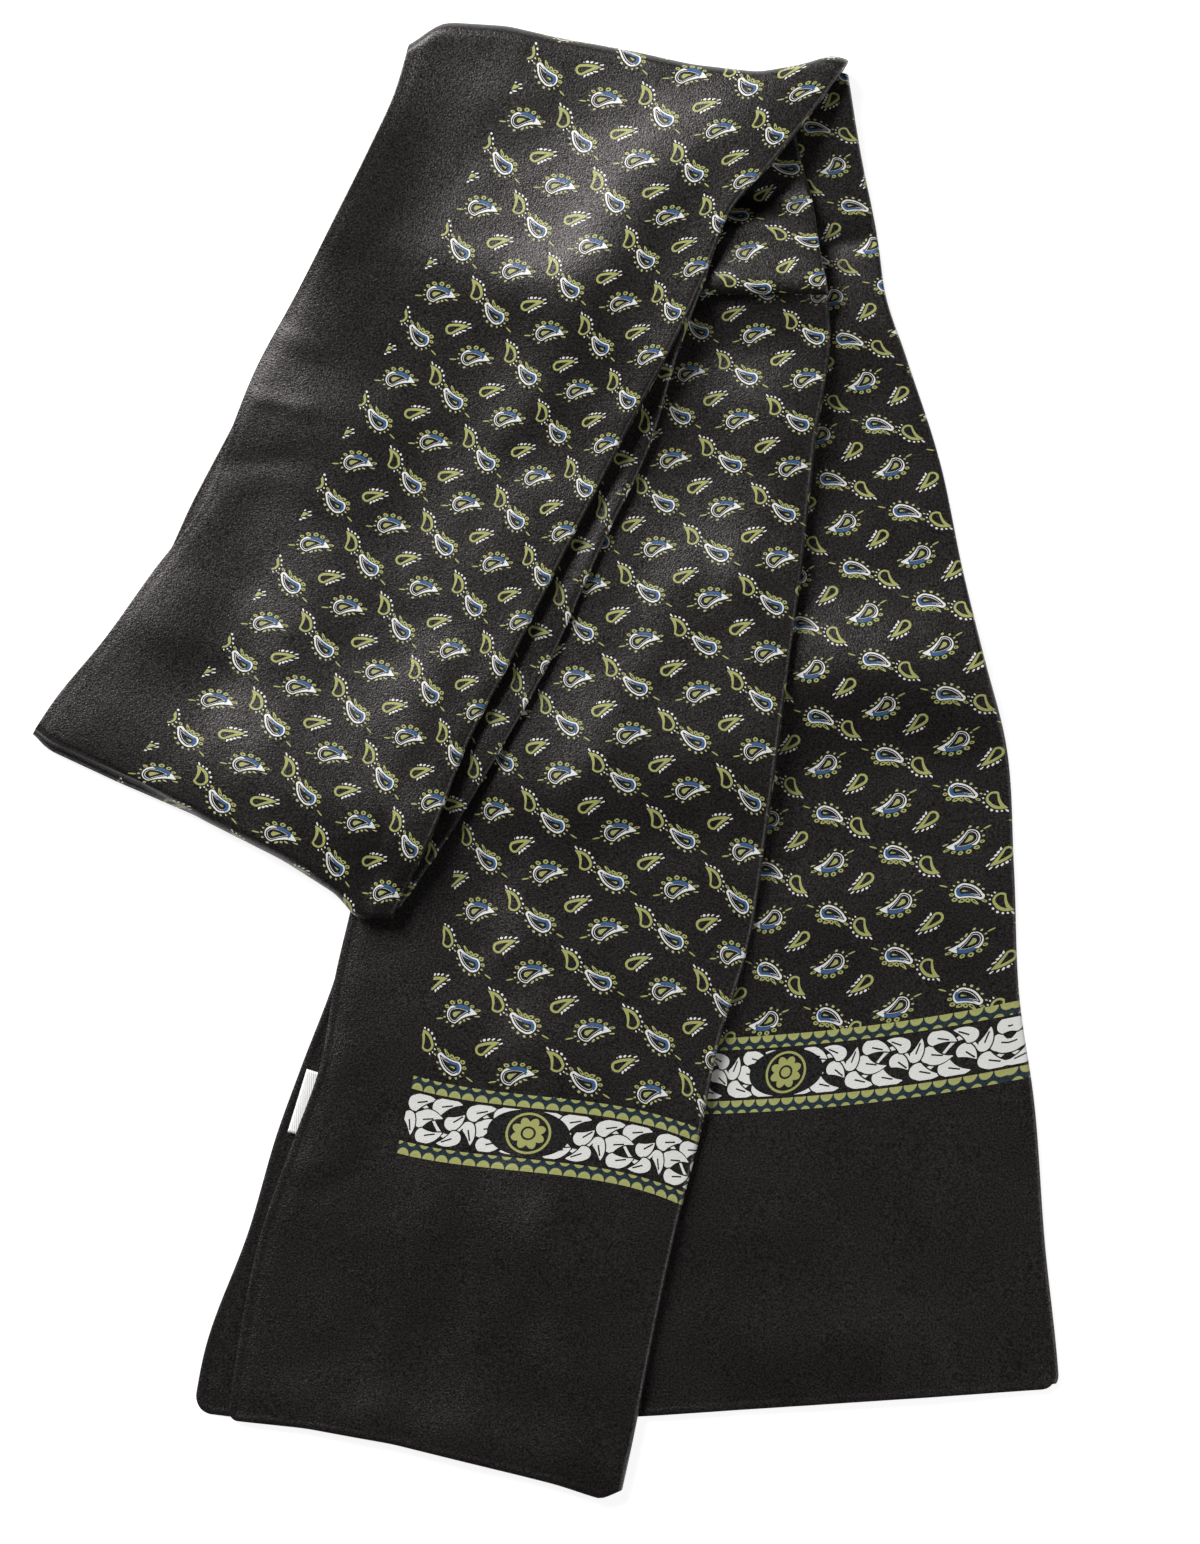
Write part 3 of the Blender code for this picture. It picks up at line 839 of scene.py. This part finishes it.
def build_tuck(bed, material, shift):
    """The stretch above the tuck, with its lower end turned under."""
    length = band_length(FRONT_TUCK)
    across, hidden = places_across((0.0,))
    along = spaced(length, FOLD_PLACES, (0.0,))
    upper = plan_of(FRONT_TUCK, across, along, right=-FOLD_REACH)
    under = plan_of(FRONT_TUCK, hidden, along, right=-FOLD_REACH)
    turned = np.clip(1 - along * length / TUCK_TURN, 0, 1)[:, None] ** 2
    height = ply_height(bed, upper, TUCK_RIDGES + TUCK_CREASES, 31, 0.7)
    height += TUCK_THICKNESS * (0.95 - 0.5 * turned)
    low = ply_height(bed, under, TUCK_RIDGES) + CLOTH + SNUG_GAP + 0.35 * TUCK_THICKNESS * turned
    points, places = hairpin(raised(upper, height), raised(under, low), print_places(TUCK_PRINT, upper))
    piece = cloth_piece("tuck_cloth", points, places, material, shift)
    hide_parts("front_tuck")
    lay_solid(bed, solid_plan(FRONT_TUCK, 11), TUCK_RIDGES, TUCK_THICKNESS)


def outward(plan):
    """Which way is out from a plan's first and last rows."""
    ways = []
    for edge, inside in ((0, 1), (-1, -2)):
        way = plan[edge] - plan[inside]
        ways.append(way / np.linalg.norm(way, axis=1)[:, None])
    return ways


def inside_bends(plan):
    """Draws a plan's first and last rows in, clear of the bends that wrap them."""
    for edge, way in zip((0, -1), outward(plan)):
        plan[edge] -= way * (BEND_REACH + BEND_CLEARANCE)
    return plan


def bend_rows(edge, way, top, foot, thinner, lip):
    """Rows that carry a ply round an end, from top down to foot. lip is how far its upper half is held in."""
    middle, radius = (top + foot) / 2, (top - foot) / 2
    rows = []
    for step in range(1, BEND_STEPS + 1):
        turn = math.pi / 2 - math.pi * step / BEND_STEPS
        out = -BEND_REACH + (BEND_REACH - thinner) * math.cos(turn)
        held = lip * np.clip(0.5 + 2.0 * math.sin(turn), 0, 1) * math.cos(turn)
        height = middle + (radius - thinner) * math.sin(turn)
        rows.append(np.column_stack([edge + way * (out - held)[:, None], height]))
    return np.array(rows)


def run_round(places, points, extra):
    """Carries the print past the last row of a grid onto the extra rows that follow it."""
    turned = run_on(places.swapaxes(0, 1), points.swapaxes(0, 1), extra.swapaxes(0, 1))
    return turned.swapaxes(0, 1)


def wrapped(points, places, edges, ways, feet, thinner, lips):
    """Adds the bends at both ends of a ply, and carries its print round them."""
    top = bend_rows(edges[0], ways[0], points[0, :, 2], feet[0], thinner, lips[0])
    foot = bend_rows(edges[1], ways[1], points[-1, :, 2], feet[1], thinner, lips[1])
    top_places = run_round(places[::-1], points[::-1], top)
    foot_places = run_round(places, points, foot)
    points = np.concatenate([top[::-1], points, foot])
    return points, np.concatenate([top_places[::-1], places, foot_places])


def build_return(bed, material, shift):
    """The two plies that come back under the flap, with a round right edge."""
    edges = dict(start=FLAP_TOP, end=FLAP_FOOT, side=1, left=-1.5)
    across, hidden = places_across()
    along = spaced(band_length(FLAP))
    upper = inside_bends(plan_of(FLAP, across, along, right=-FOLD_REACH, **edges))
    under = inside_bends(plan_of(FLAP, hidden, along, right=-FOLD_REACH, **edges))
    height = ply_height(bed, upper, RETURN_RIDGES + RETURN_CREASES, 41, 0.6)
    height += drape(across, top=0.93, low=0.5)[None, :] * RETURN_THICKNESS
    low = ply_height(bed, under, RETURN_RIDGES) + CLOTH + SNUG_GAP
    points, places = hairpin(raised(upper, height), raised(under, low), print_places(RETURN_PRINT, upper))
    piece = cloth_piece("return_cloth", points, places, material, shift)
    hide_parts("flap_return")
    lay_solid(bed, inside_bends(solid_plan(FLAP, 26, **edges)), RETURN_RIDGES, RETURN_THICKNESS)


def build_flap(bed, material, shift):
    """The slanting flap on top. Both its plies bend round the layers below at its two ends."""
    below = bed.snapshot()
    build_return(bed, material, shift)
    ends = dict(start=FLAP_TOP, end=FLAP_FOOT)
    across, hidden = places_across()
    near_end = (0.0, BEND_REACH + 0.2)
    rows = spaced(band_length(FLAP), near_end, near_end)
    upper = plan_of(FLAP, across, rows, right=-FOLD_REACH, **ends)
    under = plan_of(FLAP, hidden, rows, right=-FOLD_REACH, **ends)
    low = ply_height(bed, under[1:-1], ()) + CLOTH + LOOSE_GAP
    lay_solid(bed, inside_bends(solid_plan(FLAP, 18, **ends)), (), WALL)
    height = ply_height(bed, upper[1:-1], FLAP_RIDGES + FLAP_SWELLS + FLAP_CREASES, 51)
    height += drape(across, top=0.9, low=0.6, reach=6.0)[None, :] * FLAP_WALL
    height += FLAP_HEM * hem(across * BAND_WIDTH)[None, :]
    places = print_places(FLAP_PRINT, upper[1:-1])
    sheets = []
    for plan, inner, thinner, cells in ((upper, height, 0.0, across), (under, low, UNDER_BEND, hidden)):
        feet = [np.full_like(cells, CLOTH + thinner), below.rest(*plan[-1].T) + CLOTH + thinner]
        lips = [np.zeros_like(cells), np.interp(cells, LIP_PLACES, LIP_DEPTHS)]
        grid = raised(plan[1:-1], inner)
        known = places if plan is upper else np.zeros(grid.shape)
        sheets.append(wrapped(grid, known, (plan[0], plan[-1]), outward(plan), feet, thinner, lips))
    points, places = hairpin(sheets[0][0], sheets[1][0], sheets[0][1])
    piece = cloth_piece("flap_cloth", points, places, material, shift)
    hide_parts("flap", "flap_under_ply")


# Materials


class Drop(NamedTuple):
    """A leaf-like drop: its round head, the tip of its tail, its radius and how far it arches, in mm.

    taper says how much of its radius it has lost at the tip.
    """

    head_x: float
    head_y: float
    tip_x: float
    tip_y: float
    radius: float
    arch: float
    taper: float = 0.97


COMMA = Drop(-1.75, -0.9, 5.6, 0.7, 3.1, 1.0)
BEAN = Drop(1.3, -0.9, -4.2, 2.2, 2.7, 0.6, 0.72)
LEAF_UP = Drop(-2.1, -1.7, 3.4, 1.7, 2.05, 0.3)
LEAF_DOWN = Drop(0.9, -1.8, -2.9, 2.7, 2.4, -0.9)
FRINGE_BEADS = 14
LEAF_BEADS = 16


class Stalk(NamedTuple):
    """A short line beside a large motif: its middle and its slope."""

    x: float
    y: float
    slope: float


BEAN_STALK = Stalk(7.4, -3.9, -0.45)
COMMA_STALK = Stalk(-7.2, -3.6, 0.3)

WHITE = (0.62, 0.62, 0.60, 1.0)
OLIVE = (0.29, 0.30, 0.098, 1.0)
PALE_OLIVE = (0.33, 0.34, 0.15, 1.0)
BLUE = (0.030, 0.080, 0.18, 1.0)
TEAL = (0.008, 0.020, 0.030, 1.0)
INK = (0.004, 0.0038, 0.0045, 1.0)
SATIN_BLACK = (0.0026, 0.0020, 0.0019, 1.0)
SATIN_GREY = (0.0068, 0.0054, 0.0050, 1.0)

# Colours inwards from a motif's edge, each with the share of the depth at which it starts
HEART_DEPTH = 3.0
LEAF_DEPTH = 2.0
LOWER_SIDE = ((0.0, WHITE), (0.27, INK), (0.41, WHITE), (0.46, INK), (0.80, OLIVE))
COMMA_TOP = ((0.0, BLUE), (0.36, INK), (0.43, WHITE), (0.48, INK), (0.80, OLIVE))
BEAN_TOP = ((0.0, WHITE), (0.12, BLUE), (0.50, INK), (0.78, OLIVE))
LEAF = ((0.0, OLIVE), (0.5, INK))


def operation(kind):
    """A method that joins a term to others by one kind of arithmetic."""

    def method(self, *others):
        return self.join(kind, *others)

    return method


class Term:
    """A number in a shader that arithmetic can be written with."""

    def __init__(self, tree, value):
        self.tree = tree
        self.value = value

    def join(self, operation, *others):
        node = self.tree.nodes.new("ShaderNodeMath")
        node.operation = operation
        for place, item in enumerate((self,) + others):
            value = item.value if isinstance(item, Term) else item
            if isinstance(value, (int, float)):
                node.inputs[place].default_value = float(value)
            else:
                self.tree.links.new(value, node.inputs[place])
        return Term(self.tree, node.outputs[0])

    __add__ = operation("ADD")
    __sub__ = operation("SUBTRACT")
    __mul__ = operation("MULTIPLY")
    __truediv__ = operation("DIVIDE")
    over = operation("GREATER_THAN")
    under = operation("LESS_THAN")
    least = operation("MINIMUM")
    most = operation("MAXIMUM")
    size = operation("ABSOLUTE")
    power = operation("POWER")
    round = operation("ROUND")
    part = operation("FRACT")
    sine = operation("SINE")

    def inverse(self):
        return (self * -1.0) + 1.0

    def between(self, low, high):
        return self.over(low) * self.under(high)


def hypot(x, y):
    """The length of a vector."""
    return (x * x + y * y).power(0.5)


def choose(first, second, odd):
    """A constant that is first where odd is 0 and second where it is 1."""
    if abs(first - second) < 1e-6:
        return first
    return odd * (second - first) + first


def paint(tree, below, colour, cover):
    """Lays a colour over another where cover is 1."""
    node = tree.nodes.new("ShaderNodeMix")
    node.data_type = "RGBA"
    tree.links.new(cover.value, node.inputs["Factor"])
    for socket, value in ((node.inputs["A"], below), (node.inputs["B"], colour)):
        if isinstance(value, tuple):
            socket.default_value = value
        else:
            tree.links.new(value, socket)
    return node.outputs["Result"]


def steps_of(tree, depth, stops):
    """A colour for each depth, given as pairs of a depth from 0 to 1 and a colour that starts there."""
    node = tree.nodes.new("ShaderNodeValToRGB")
    ramp = node.color_ramp
    ramp.interpolation = "CONSTANT"
    ramp.elements[0].position = stops[0][0]
    ramp.elements[0].color = stops[0][1]
    ramp.elements[1].position = stops[1][0]
    ramp.elements[1].color = stops[1][1]
    for place, colour in stops[2:]:
        ramp.elements.new(place).color = colour
    tree.links.new(depth.value, node.inputs["Fac"])
    return node.outputs["Color"]


class DropField(NamedTuple):
    """A drop as the shader sees it: distance out from its edge, and places along and beside its axis."""

    out: Term
    along: Term
    beside: Term


def drop_field(x, y, first, second, odd):
    """The drop first where odd is 0 and second where it is 1, seen from x, y in mm."""
    lengths, turns = [], []
    for drop in (first, second):
        lengths.append(math.hypot(drop.tip_x - drop.head_x, drop.tip_y - drop.head_y))
        turns.append((drop.tip_x - drop.head_x, drop.tip_y - drop.head_y))
    cosine = choose(turns[0][0] / lengths[0], turns[1][0] / lengths[1], odd)
    sine = choose(turns[0][1] / lengths[0], turns[1][1] / lengths[1], odd)
    length = choose(lengths[0], lengths[1], odd)
    right = x - choose(first.head_x, second.head_x, odd)
    up = y - choose(first.head_y, second.head_y, odd)
    along = right * cosine + up * sine
    beside = up * cosine - right * sine
    t = (along / length).most(0.0).least(1.0)
    arch = (t - t * t) * choose(4.0 * first.arch, 4.0 * second.arch, odd)
    gap = hypot(along - t * length, beside - arch)
    taper = (t * choose(-first.taper, -second.taper, odd) + 1.0).power(0.72)
    return DropField(gap - taper * choose(first.radius, second.radius, odd), along, beside)


def beads(field, offset, count, stretch, centre, size):
    """Round beads along a line at an offset outside a drop's edge: 1 inside them."""
    turn = (field.beside * stretch).join("ARCTAN2", field.along - centre)
    place = (turn * (count / (2 * math.pi))).part() - 0.5
    around = hypot(field.along - centre, field.beside) * place * (2 * math.pi / count)
    return hypot(around, (field.out - offset) * 0.85).under(size)


def blue_motif(tree, x, y, odd, ground):
    """The large motifs: a white ring with a blue side, dark and pale lines, an olive heart and a fringe."""
    field = drop_field(x, y, BEAN, COMMA, odd)
    upper = (y * 0.8 + x * choose(0.3, -0.1, odd)).over(choose(0.6, 0.4, odd))
    fringe = beads(field, 1.0, FRINGE_BEADS, 1.45, choose(1.2, 1.7, odd), upper * 0.28 + 0.38)
    holes = beads(field, 0.95, FRINGE_BEADS, 1.45, choose(1.2, 1.7, odd), 0.26) * upper
    colour = paint(tree, ground, paint(tree, PALE_OLIVE, OLIVE, upper), fringe * holes.inverse())
    stalk_x = x - choose(BEAN_STALK.x, COMMA_STALK.x, odd)
    stalk_y = y - choose(BEAN_STALK.y, COMMA_STALK.y, odd)
    lean = stalk_y - stalk_x * choose(BEAN_STALK.slope, COMMA_STALK.slope, odd)
    colour = paint(tree, colour, OLIVE, hypot(stalk_x * 0.33, lean * 1.5).under(0.42))
    depth = (field.out + (x * 0.06 + y * 0.10)) * (-1.0 / HEART_DEPTH)
    top = paint(tree, steps_of(tree, depth, BEAN_TOP), steps_of(tree, depth, COMMA_TOP), odd)
    above = (y + x * choose(0.8, 0.25, odd)).over(choose(-0.2, 1.0, odd))
    at_top = above * x.under(choose(9.0, 3.3, odd))
    heart = paint(tree, steps_of(tree, depth, LOWER_SIDE), top, at_top)
    return paint(tree, colour, heart, field.out.under(0.0))


def green_motif(tree, x, y, odd, ground):
    """The small motifs: an olive ring with a dark heart, and white beads round its tip."""
    field = drop_field(x, y, LEAF_UP, LEAF_DOWN, odd)
    side = (x * choose(0.9, 0.8, odd) + y * choose(0.45, 0.55, odd)).over(choose(-1.9, -1.0, odd))
    row = beads(field, 0.85, LEAF_BEADS, 1.5, 1.5, x * choose(0.0, -0.02, odd) + 0.38) * side
    colour = paint(tree, ground, WHITE, row)
    heart = steps_of(tree, (field.out + y * 0.08) * (-1.0 / LEAF_DEPTH), LEAF)
    return paint(tree, colour, heart, field.out.under(0.0))


def border(tree, across, up, ground):
    """A border of domes: whole domes below, and clipped ones that hang between them."""
    cell = (across / DOME_PITCH).part() - 0.5
    from_dome = hypot(cell * DOME_PITCH, up * 0.9)
    dome = from_dome.under(2.1)
    ring = from_dome.between(1.35, 1.6)
    half_cell = ((across / DOME_PITCH) + 0.5).part() - 0.5
    hanging = hypot(half_cell * DOME_PITCH, up - 4.9).under(1.7)
    inside = up.between(0.0, BORDER_HEIGHT)
    colour = paint(tree, ground, TEAL, inside)
    colour = paint(tree, colour, OLIVE, (hanging + dome).least(1.0) * inside)
    return paint(tree, colour, PALE_OLIVE, ring * inside)


SCROLL_LEAVES = (
    Drop(-7.6, 4.6, -0.6, 6.9, 2.7, 0.8),
    Drop(1.4, 4.9, 8.6, 7.0, 2.7, 1.0),
    Drop(-4.4, -0.4, 2.8, 1.3, 2.8, 1.3),
    Drop(6.4, 0.2, 10.2, 3.4, 2.5, -0.5),
    Drop(-8.9, -0.6, -7.2, -6.0, 2.2, 0.5),
    Drop(-2.8, -5.6, 3.6, -3.6, 2.6, -0.8),
    Drop(8.0, -4.6, 2.8, -7.2, 2.4, 0.6),
)


def scroll(tree, across, up, ground):
    """A plain leaf scroll: white leaves with dark veins on either side of a waving stem."""
    cell = (across / SCROLL_PITCH).part() * SCROLL_PITCH - SCROLL_PITCH / 2
    stem = (up - (across * (2 * math.pi / SCROLL_PITCH)).sine() * SCROLL_SWING).size().under(0.75)
    white = stem
    vein = None
    for leaf in SCROLL_LEAVES:
        field = drop_field(cell, up, leaf, leaf, None)
        white = white * field.out.over(0.45)
        white = white.most(field.out.under(0.0))
        line = field.beside.size().under(0.26) * field.along.between(0.6, 4.4)
        vein = line if vein is None else vein.most(line)
    white = white * vein.inverse()
    return paint(tree, ground, WHITE, white * up.size().under(SCROLL_HEIGHT / 2))


def rosette(tree, across, up, ground):
    """A plain olive rosette in each gap of the scroll."""
    x = ((across - FIRST_ROSETTE) / ROSETTE_PITCH + 0.5).part() * ROSETTE_PITCH - ROSETTE_PITCH / 2
    radius = hypot(x, up)
    turn = up.join("ARCTAN2", x)
    petals = (turn * 4.0).sine().size() * 1.6 + 4.0
    colour = paint(tree, ground, INK, hypot(x * 0.62, up).under(8.2))
    colour = paint(tree, colour, OLIVE, radius.under(petals))
    colour = paint(tree, colour, INK, radius.between(1.7, 2.4))
    return paint(tree, colour, OLIVE, radius.between(6.4, 7.2))


def nearest_site(across, along, offset):
    """How far across and along the nearest motif's middle is, and 1 at every other site or else 0."""
    column, row = (across - offset).round(), (along - offset).round()
    odd = (((column + row) * 0.5).part() * 2.0).over(0.5)
    x = (across - column - offset) * ACROSS_PITCH
    y = (along - row - offset) * ALONG_PITCH
    return x, y, odd


def print_colour(tree, ground):
    """The whole print: the field of motifs and the bands near both ends."""
    attribute = tree.nodes.new("ShaderNodeAttribute")
    attribute.attribute_name = "print_place"
    split = tree.nodes.new("ShaderNodeSeparateXYZ")
    tree.links.new(attribute.outputs["Vector"], split.inputs[0])
    across, along, inside = (Term(tree, socket) for socket in split.outputs)
    back = along.over(PRINT_MIDDLE)
    rise = (along - (back * (BACK_BAND - FRONT_BAND) + FRONT_BAND)) * ALONG_PITCH
    sign = back * -2.0 + 1.0
    on_cloth = inside.over(0.0)
    from_middle = rise - BAND_HEIGHT / 2
    field = (from_middle * sign).over(BAND_HEIGHT / 2) * on_cloth

    x, y, odd = nearest_site(across, along, 0.0)
    colour = blue_motif(tree, x, y, odd, ground)
    x, y, odd = nearest_site(across, along, 0.5)
    colour = green_motif(tree, x - 0.4, y + (odd * 2.0 + 0.5), odd, colour)
    colour = paint(tree, ground, colour, field)

    ornament = scroll(tree, inside, from_middle, ground)
    ornament = rosette(tree, inside, from_middle, ornament)
    ornament = border(tree, inside, rise, ornament)
    ornament = border(tree, inside, rise - SECOND_BORDER, ornament)
    return paint(tree, colour, ornament, on_cloth * rise.between(0.0, BAND_HEIGHT))


def noise(tree, scale, detail, roughness=0.5):
    """Noise over the object in its own metres."""
    coordinates = tree.nodes.new("ShaderNodeTexCoord")
    node = tree.nodes.new("ShaderNodeTexNoise")
    node.inputs["Scale"].default_value = scale
    node.inputs["Detail"].default_value = detail
    node.inputs["Roughness"].default_value = roughness
    tree.links.new(coordinates.outputs["Object"], node.inputs["Vector"])
    return node.outputs["Fac"]


def bump(tree, height, strength, distance, before=None):
    """Relief from a height that the shader works out."""
    node = tree.nodes.new("ShaderNodeBump")
    node.inputs["Strength"].default_value = strength
    node.inputs["Distance"].default_value = distance
    tree.links.new(height, node.inputs["Height"])
    if before is not None:
        tree.links.new(before, node.inputs["Normal"])
    return node.outputs["Normal"]


def new_material(name):
    """A material, its nodes and its shader."""
    material = bpy.data.materials.new(name)
    material.use_nodes = True
    tree = material.node_tree
    return material, tree, tree.nodes["Principled BSDF"]


def satin_material():
    """Black satin with a fine grain and a soft sheen."""
    material, tree, shader = new_material("printed_satin")
    grain = Term(tree, noise(tree, 1500.0, 2.0))
    ground = paint(tree, SATIN_BLACK, SATIN_GREY, grain)
    tree.links.new(print_colour(tree, ground), shader.inputs["Base Color"])
    cloud = Term(tree, noise(tree, 45.0, 3.0))
    roughness = cloud * 0.10 + grain * 0.16 + 0.27
    tree.links.new(roughness.value, shader.inputs["Roughness"])
    level = grain * 1.7 - 0.35
    tree.links.new(level.value, shader.inputs["Specular IOR Level"])
    shader.inputs["Specular Tint"].default_value = (1.0, 0.95, 0.935, 1.0)
    weave = bump(tree, noise(tree, 1700.0, 2.0), 0.8, 0.0002)
    rumple = bump(tree, noise(tree, 130.0, 4.0, 0.6), 0.12, 0.0006, weave)
    tree.links.new(rumple, shader.inputs["Normal"])
    return material


def label_material():
    """Plain white woven tape, with a faint rib across it."""
    material, tree, shader = new_material("label_tape")
    fleck = Term(tree, noise(tree, 900.0, 3.0))
    colour = paint(tree, (0.74, 0.74, 0.72, 1.0), (0.86, 0.86, 0.85, 1.0), fleck)
    tree.links.new(colour, shader.inputs["Base Color"])
    roughness = fleck * 0.2 + 0.55
    tree.links.new(roughness.value, shader.inputs["Roughness"])
    wave = tree.nodes.new("ShaderNodeTexWave")
    wave.inputs["Scale"].default_value = 420.0
    wave.inputs["Distortion"].default_value = 0.6
    coordinates = tree.nodes.new("ShaderNodeTexCoord")
    tree.links.new(coordinates.outputs["Object"], wave.inputs["Vector"])
    tree.links.new(bump(tree, wave.outputs["Fac"], 0.4, 0.0002), shader.inputs["Normal"])
    return material


def floor_material():
    """A pale matt floor, lit from within so that it stays white in the scarf's shade."""
    material, tree, shader = new_material("pale_floor")
    fleck = Term(tree, noise(tree, 6.0, 2.0))
    colour = paint(tree, (0.34, 0.34, 0.34, 1.0), (0.37, 0.37, 0.37, 1.0), fleck)
    tree.links.new(colour, shader.inputs["Base Color"])
    shader.inputs["Roughness"].default_value = 0.9
    shader.inputs["Emission Color"].default_value = (1.0, 1.0, 1.0, 1.0)
    shader.inputs["Emission Strength"].default_value = 0.85
    return material


# The photograph's frame is 420 mm wide and 540.4 mm high, and is seen from straight above
VIEW_CENTRE = (18.7, -2.8)
VIEW_HEIGHT = 540.4
CAMERA_DISTANCE = 1900.0
SENSOR = 36.0
CLOTH_TOP = 6.0


def set_camera(shift):
    """A camera straight above, whose frame is the photograph's at the height of the cloth."""
    camera = bpy.data.objects.new("camera", bpy.data.cameras.new("camera"))
    camera.data.sensor_fit = "VERTICAL"
    camera.data.sensor_height = SENSOR
    camera.data.lens = SENSOR * (CAMERA_DISTANCE - CLOTH_TOP) / VIEW_HEIGHT
    place = np.array([VIEW_CENTRE[0], VIEW_CENTRE[1], CAMERA_DISTANCE]) - shift
    camera.location = place * MM
    bpy.context.scene.collection.objects.link(camera)
    bpy.context.scene.camera = camera


def add_light(name, place, size, power):
    """A soft square light that points at the middle of the scarf."""
    data = bpy.data.lights.new(name, "AREA")
    data.shape = "SQUARE"
    data.size = size
    data.energy = power
    lamp = bpy.data.objects.new(name, data)
    lamp.location = place
    lamp.rotation_euler = (-Vector(place)).to_track_quat("-Z", "Y").to_euler()
    bpy.context.scene.collection.objects.link(lamp)


def set_light():
    """A low key light from the upper left, a weaker fill from the right and a dim white world."""
    world = bpy.data.worlds.new("studio")
    world.use_nodes = True
    background = world.node_tree.nodes["Background"]
    background.inputs["Color"].default_value = (1.0, 1.0, 1.0, 1.0)
    background.inputs["Strength"].default_value = 0.05
    bpy.context.scene.world = world
    add_light("key", (-0.90, 1.08, 0.94), size=1.0, power=57.0)
    add_light("fill", (1.7, -0.5, 1.2), size=1.2, power=15.0)
    bpy.context.scene.view_settings.view_transform = "Standard"


def add_floor():
    """A wide flat floor under the scarf."""
    mesh = bpy.data.meshes.new("floor")
    half = 4.0
    corners = [(-half, -half, 0), (half, -half, 0), (half, half, 0), (-half, half, 0)]
    mesh.from_pydata(corners, [], [(0, 1, 2, 3)])
    mesh.materials.append(floor_material())
    floor = bpy.data.objects.new("floor", mesh)
    bpy.context.scene.collection.objects.link(floor)


def model_shift():
    """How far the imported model's origin is from the plan's, from where the label lies in each."""
    low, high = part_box("blank_label")
    middle = (np.array(low) + np.array(high)) / 2 / MM
    return np.array([LABEL_CENTRE[0] - middle[0], LABEL_CENTRE[1] - middle[1], 0.0])


def main():
    shift = model_shift()
    satin = satin_material()
    bed = Bed()
    build_back(bed, satin, shift)
    build_front(bed, satin, shift)
    build_tuck(bed, satin, shift)
    build_flap(bed, satin, shift)
    add_floor()
    set_light()
    set_camera(shift)


main()
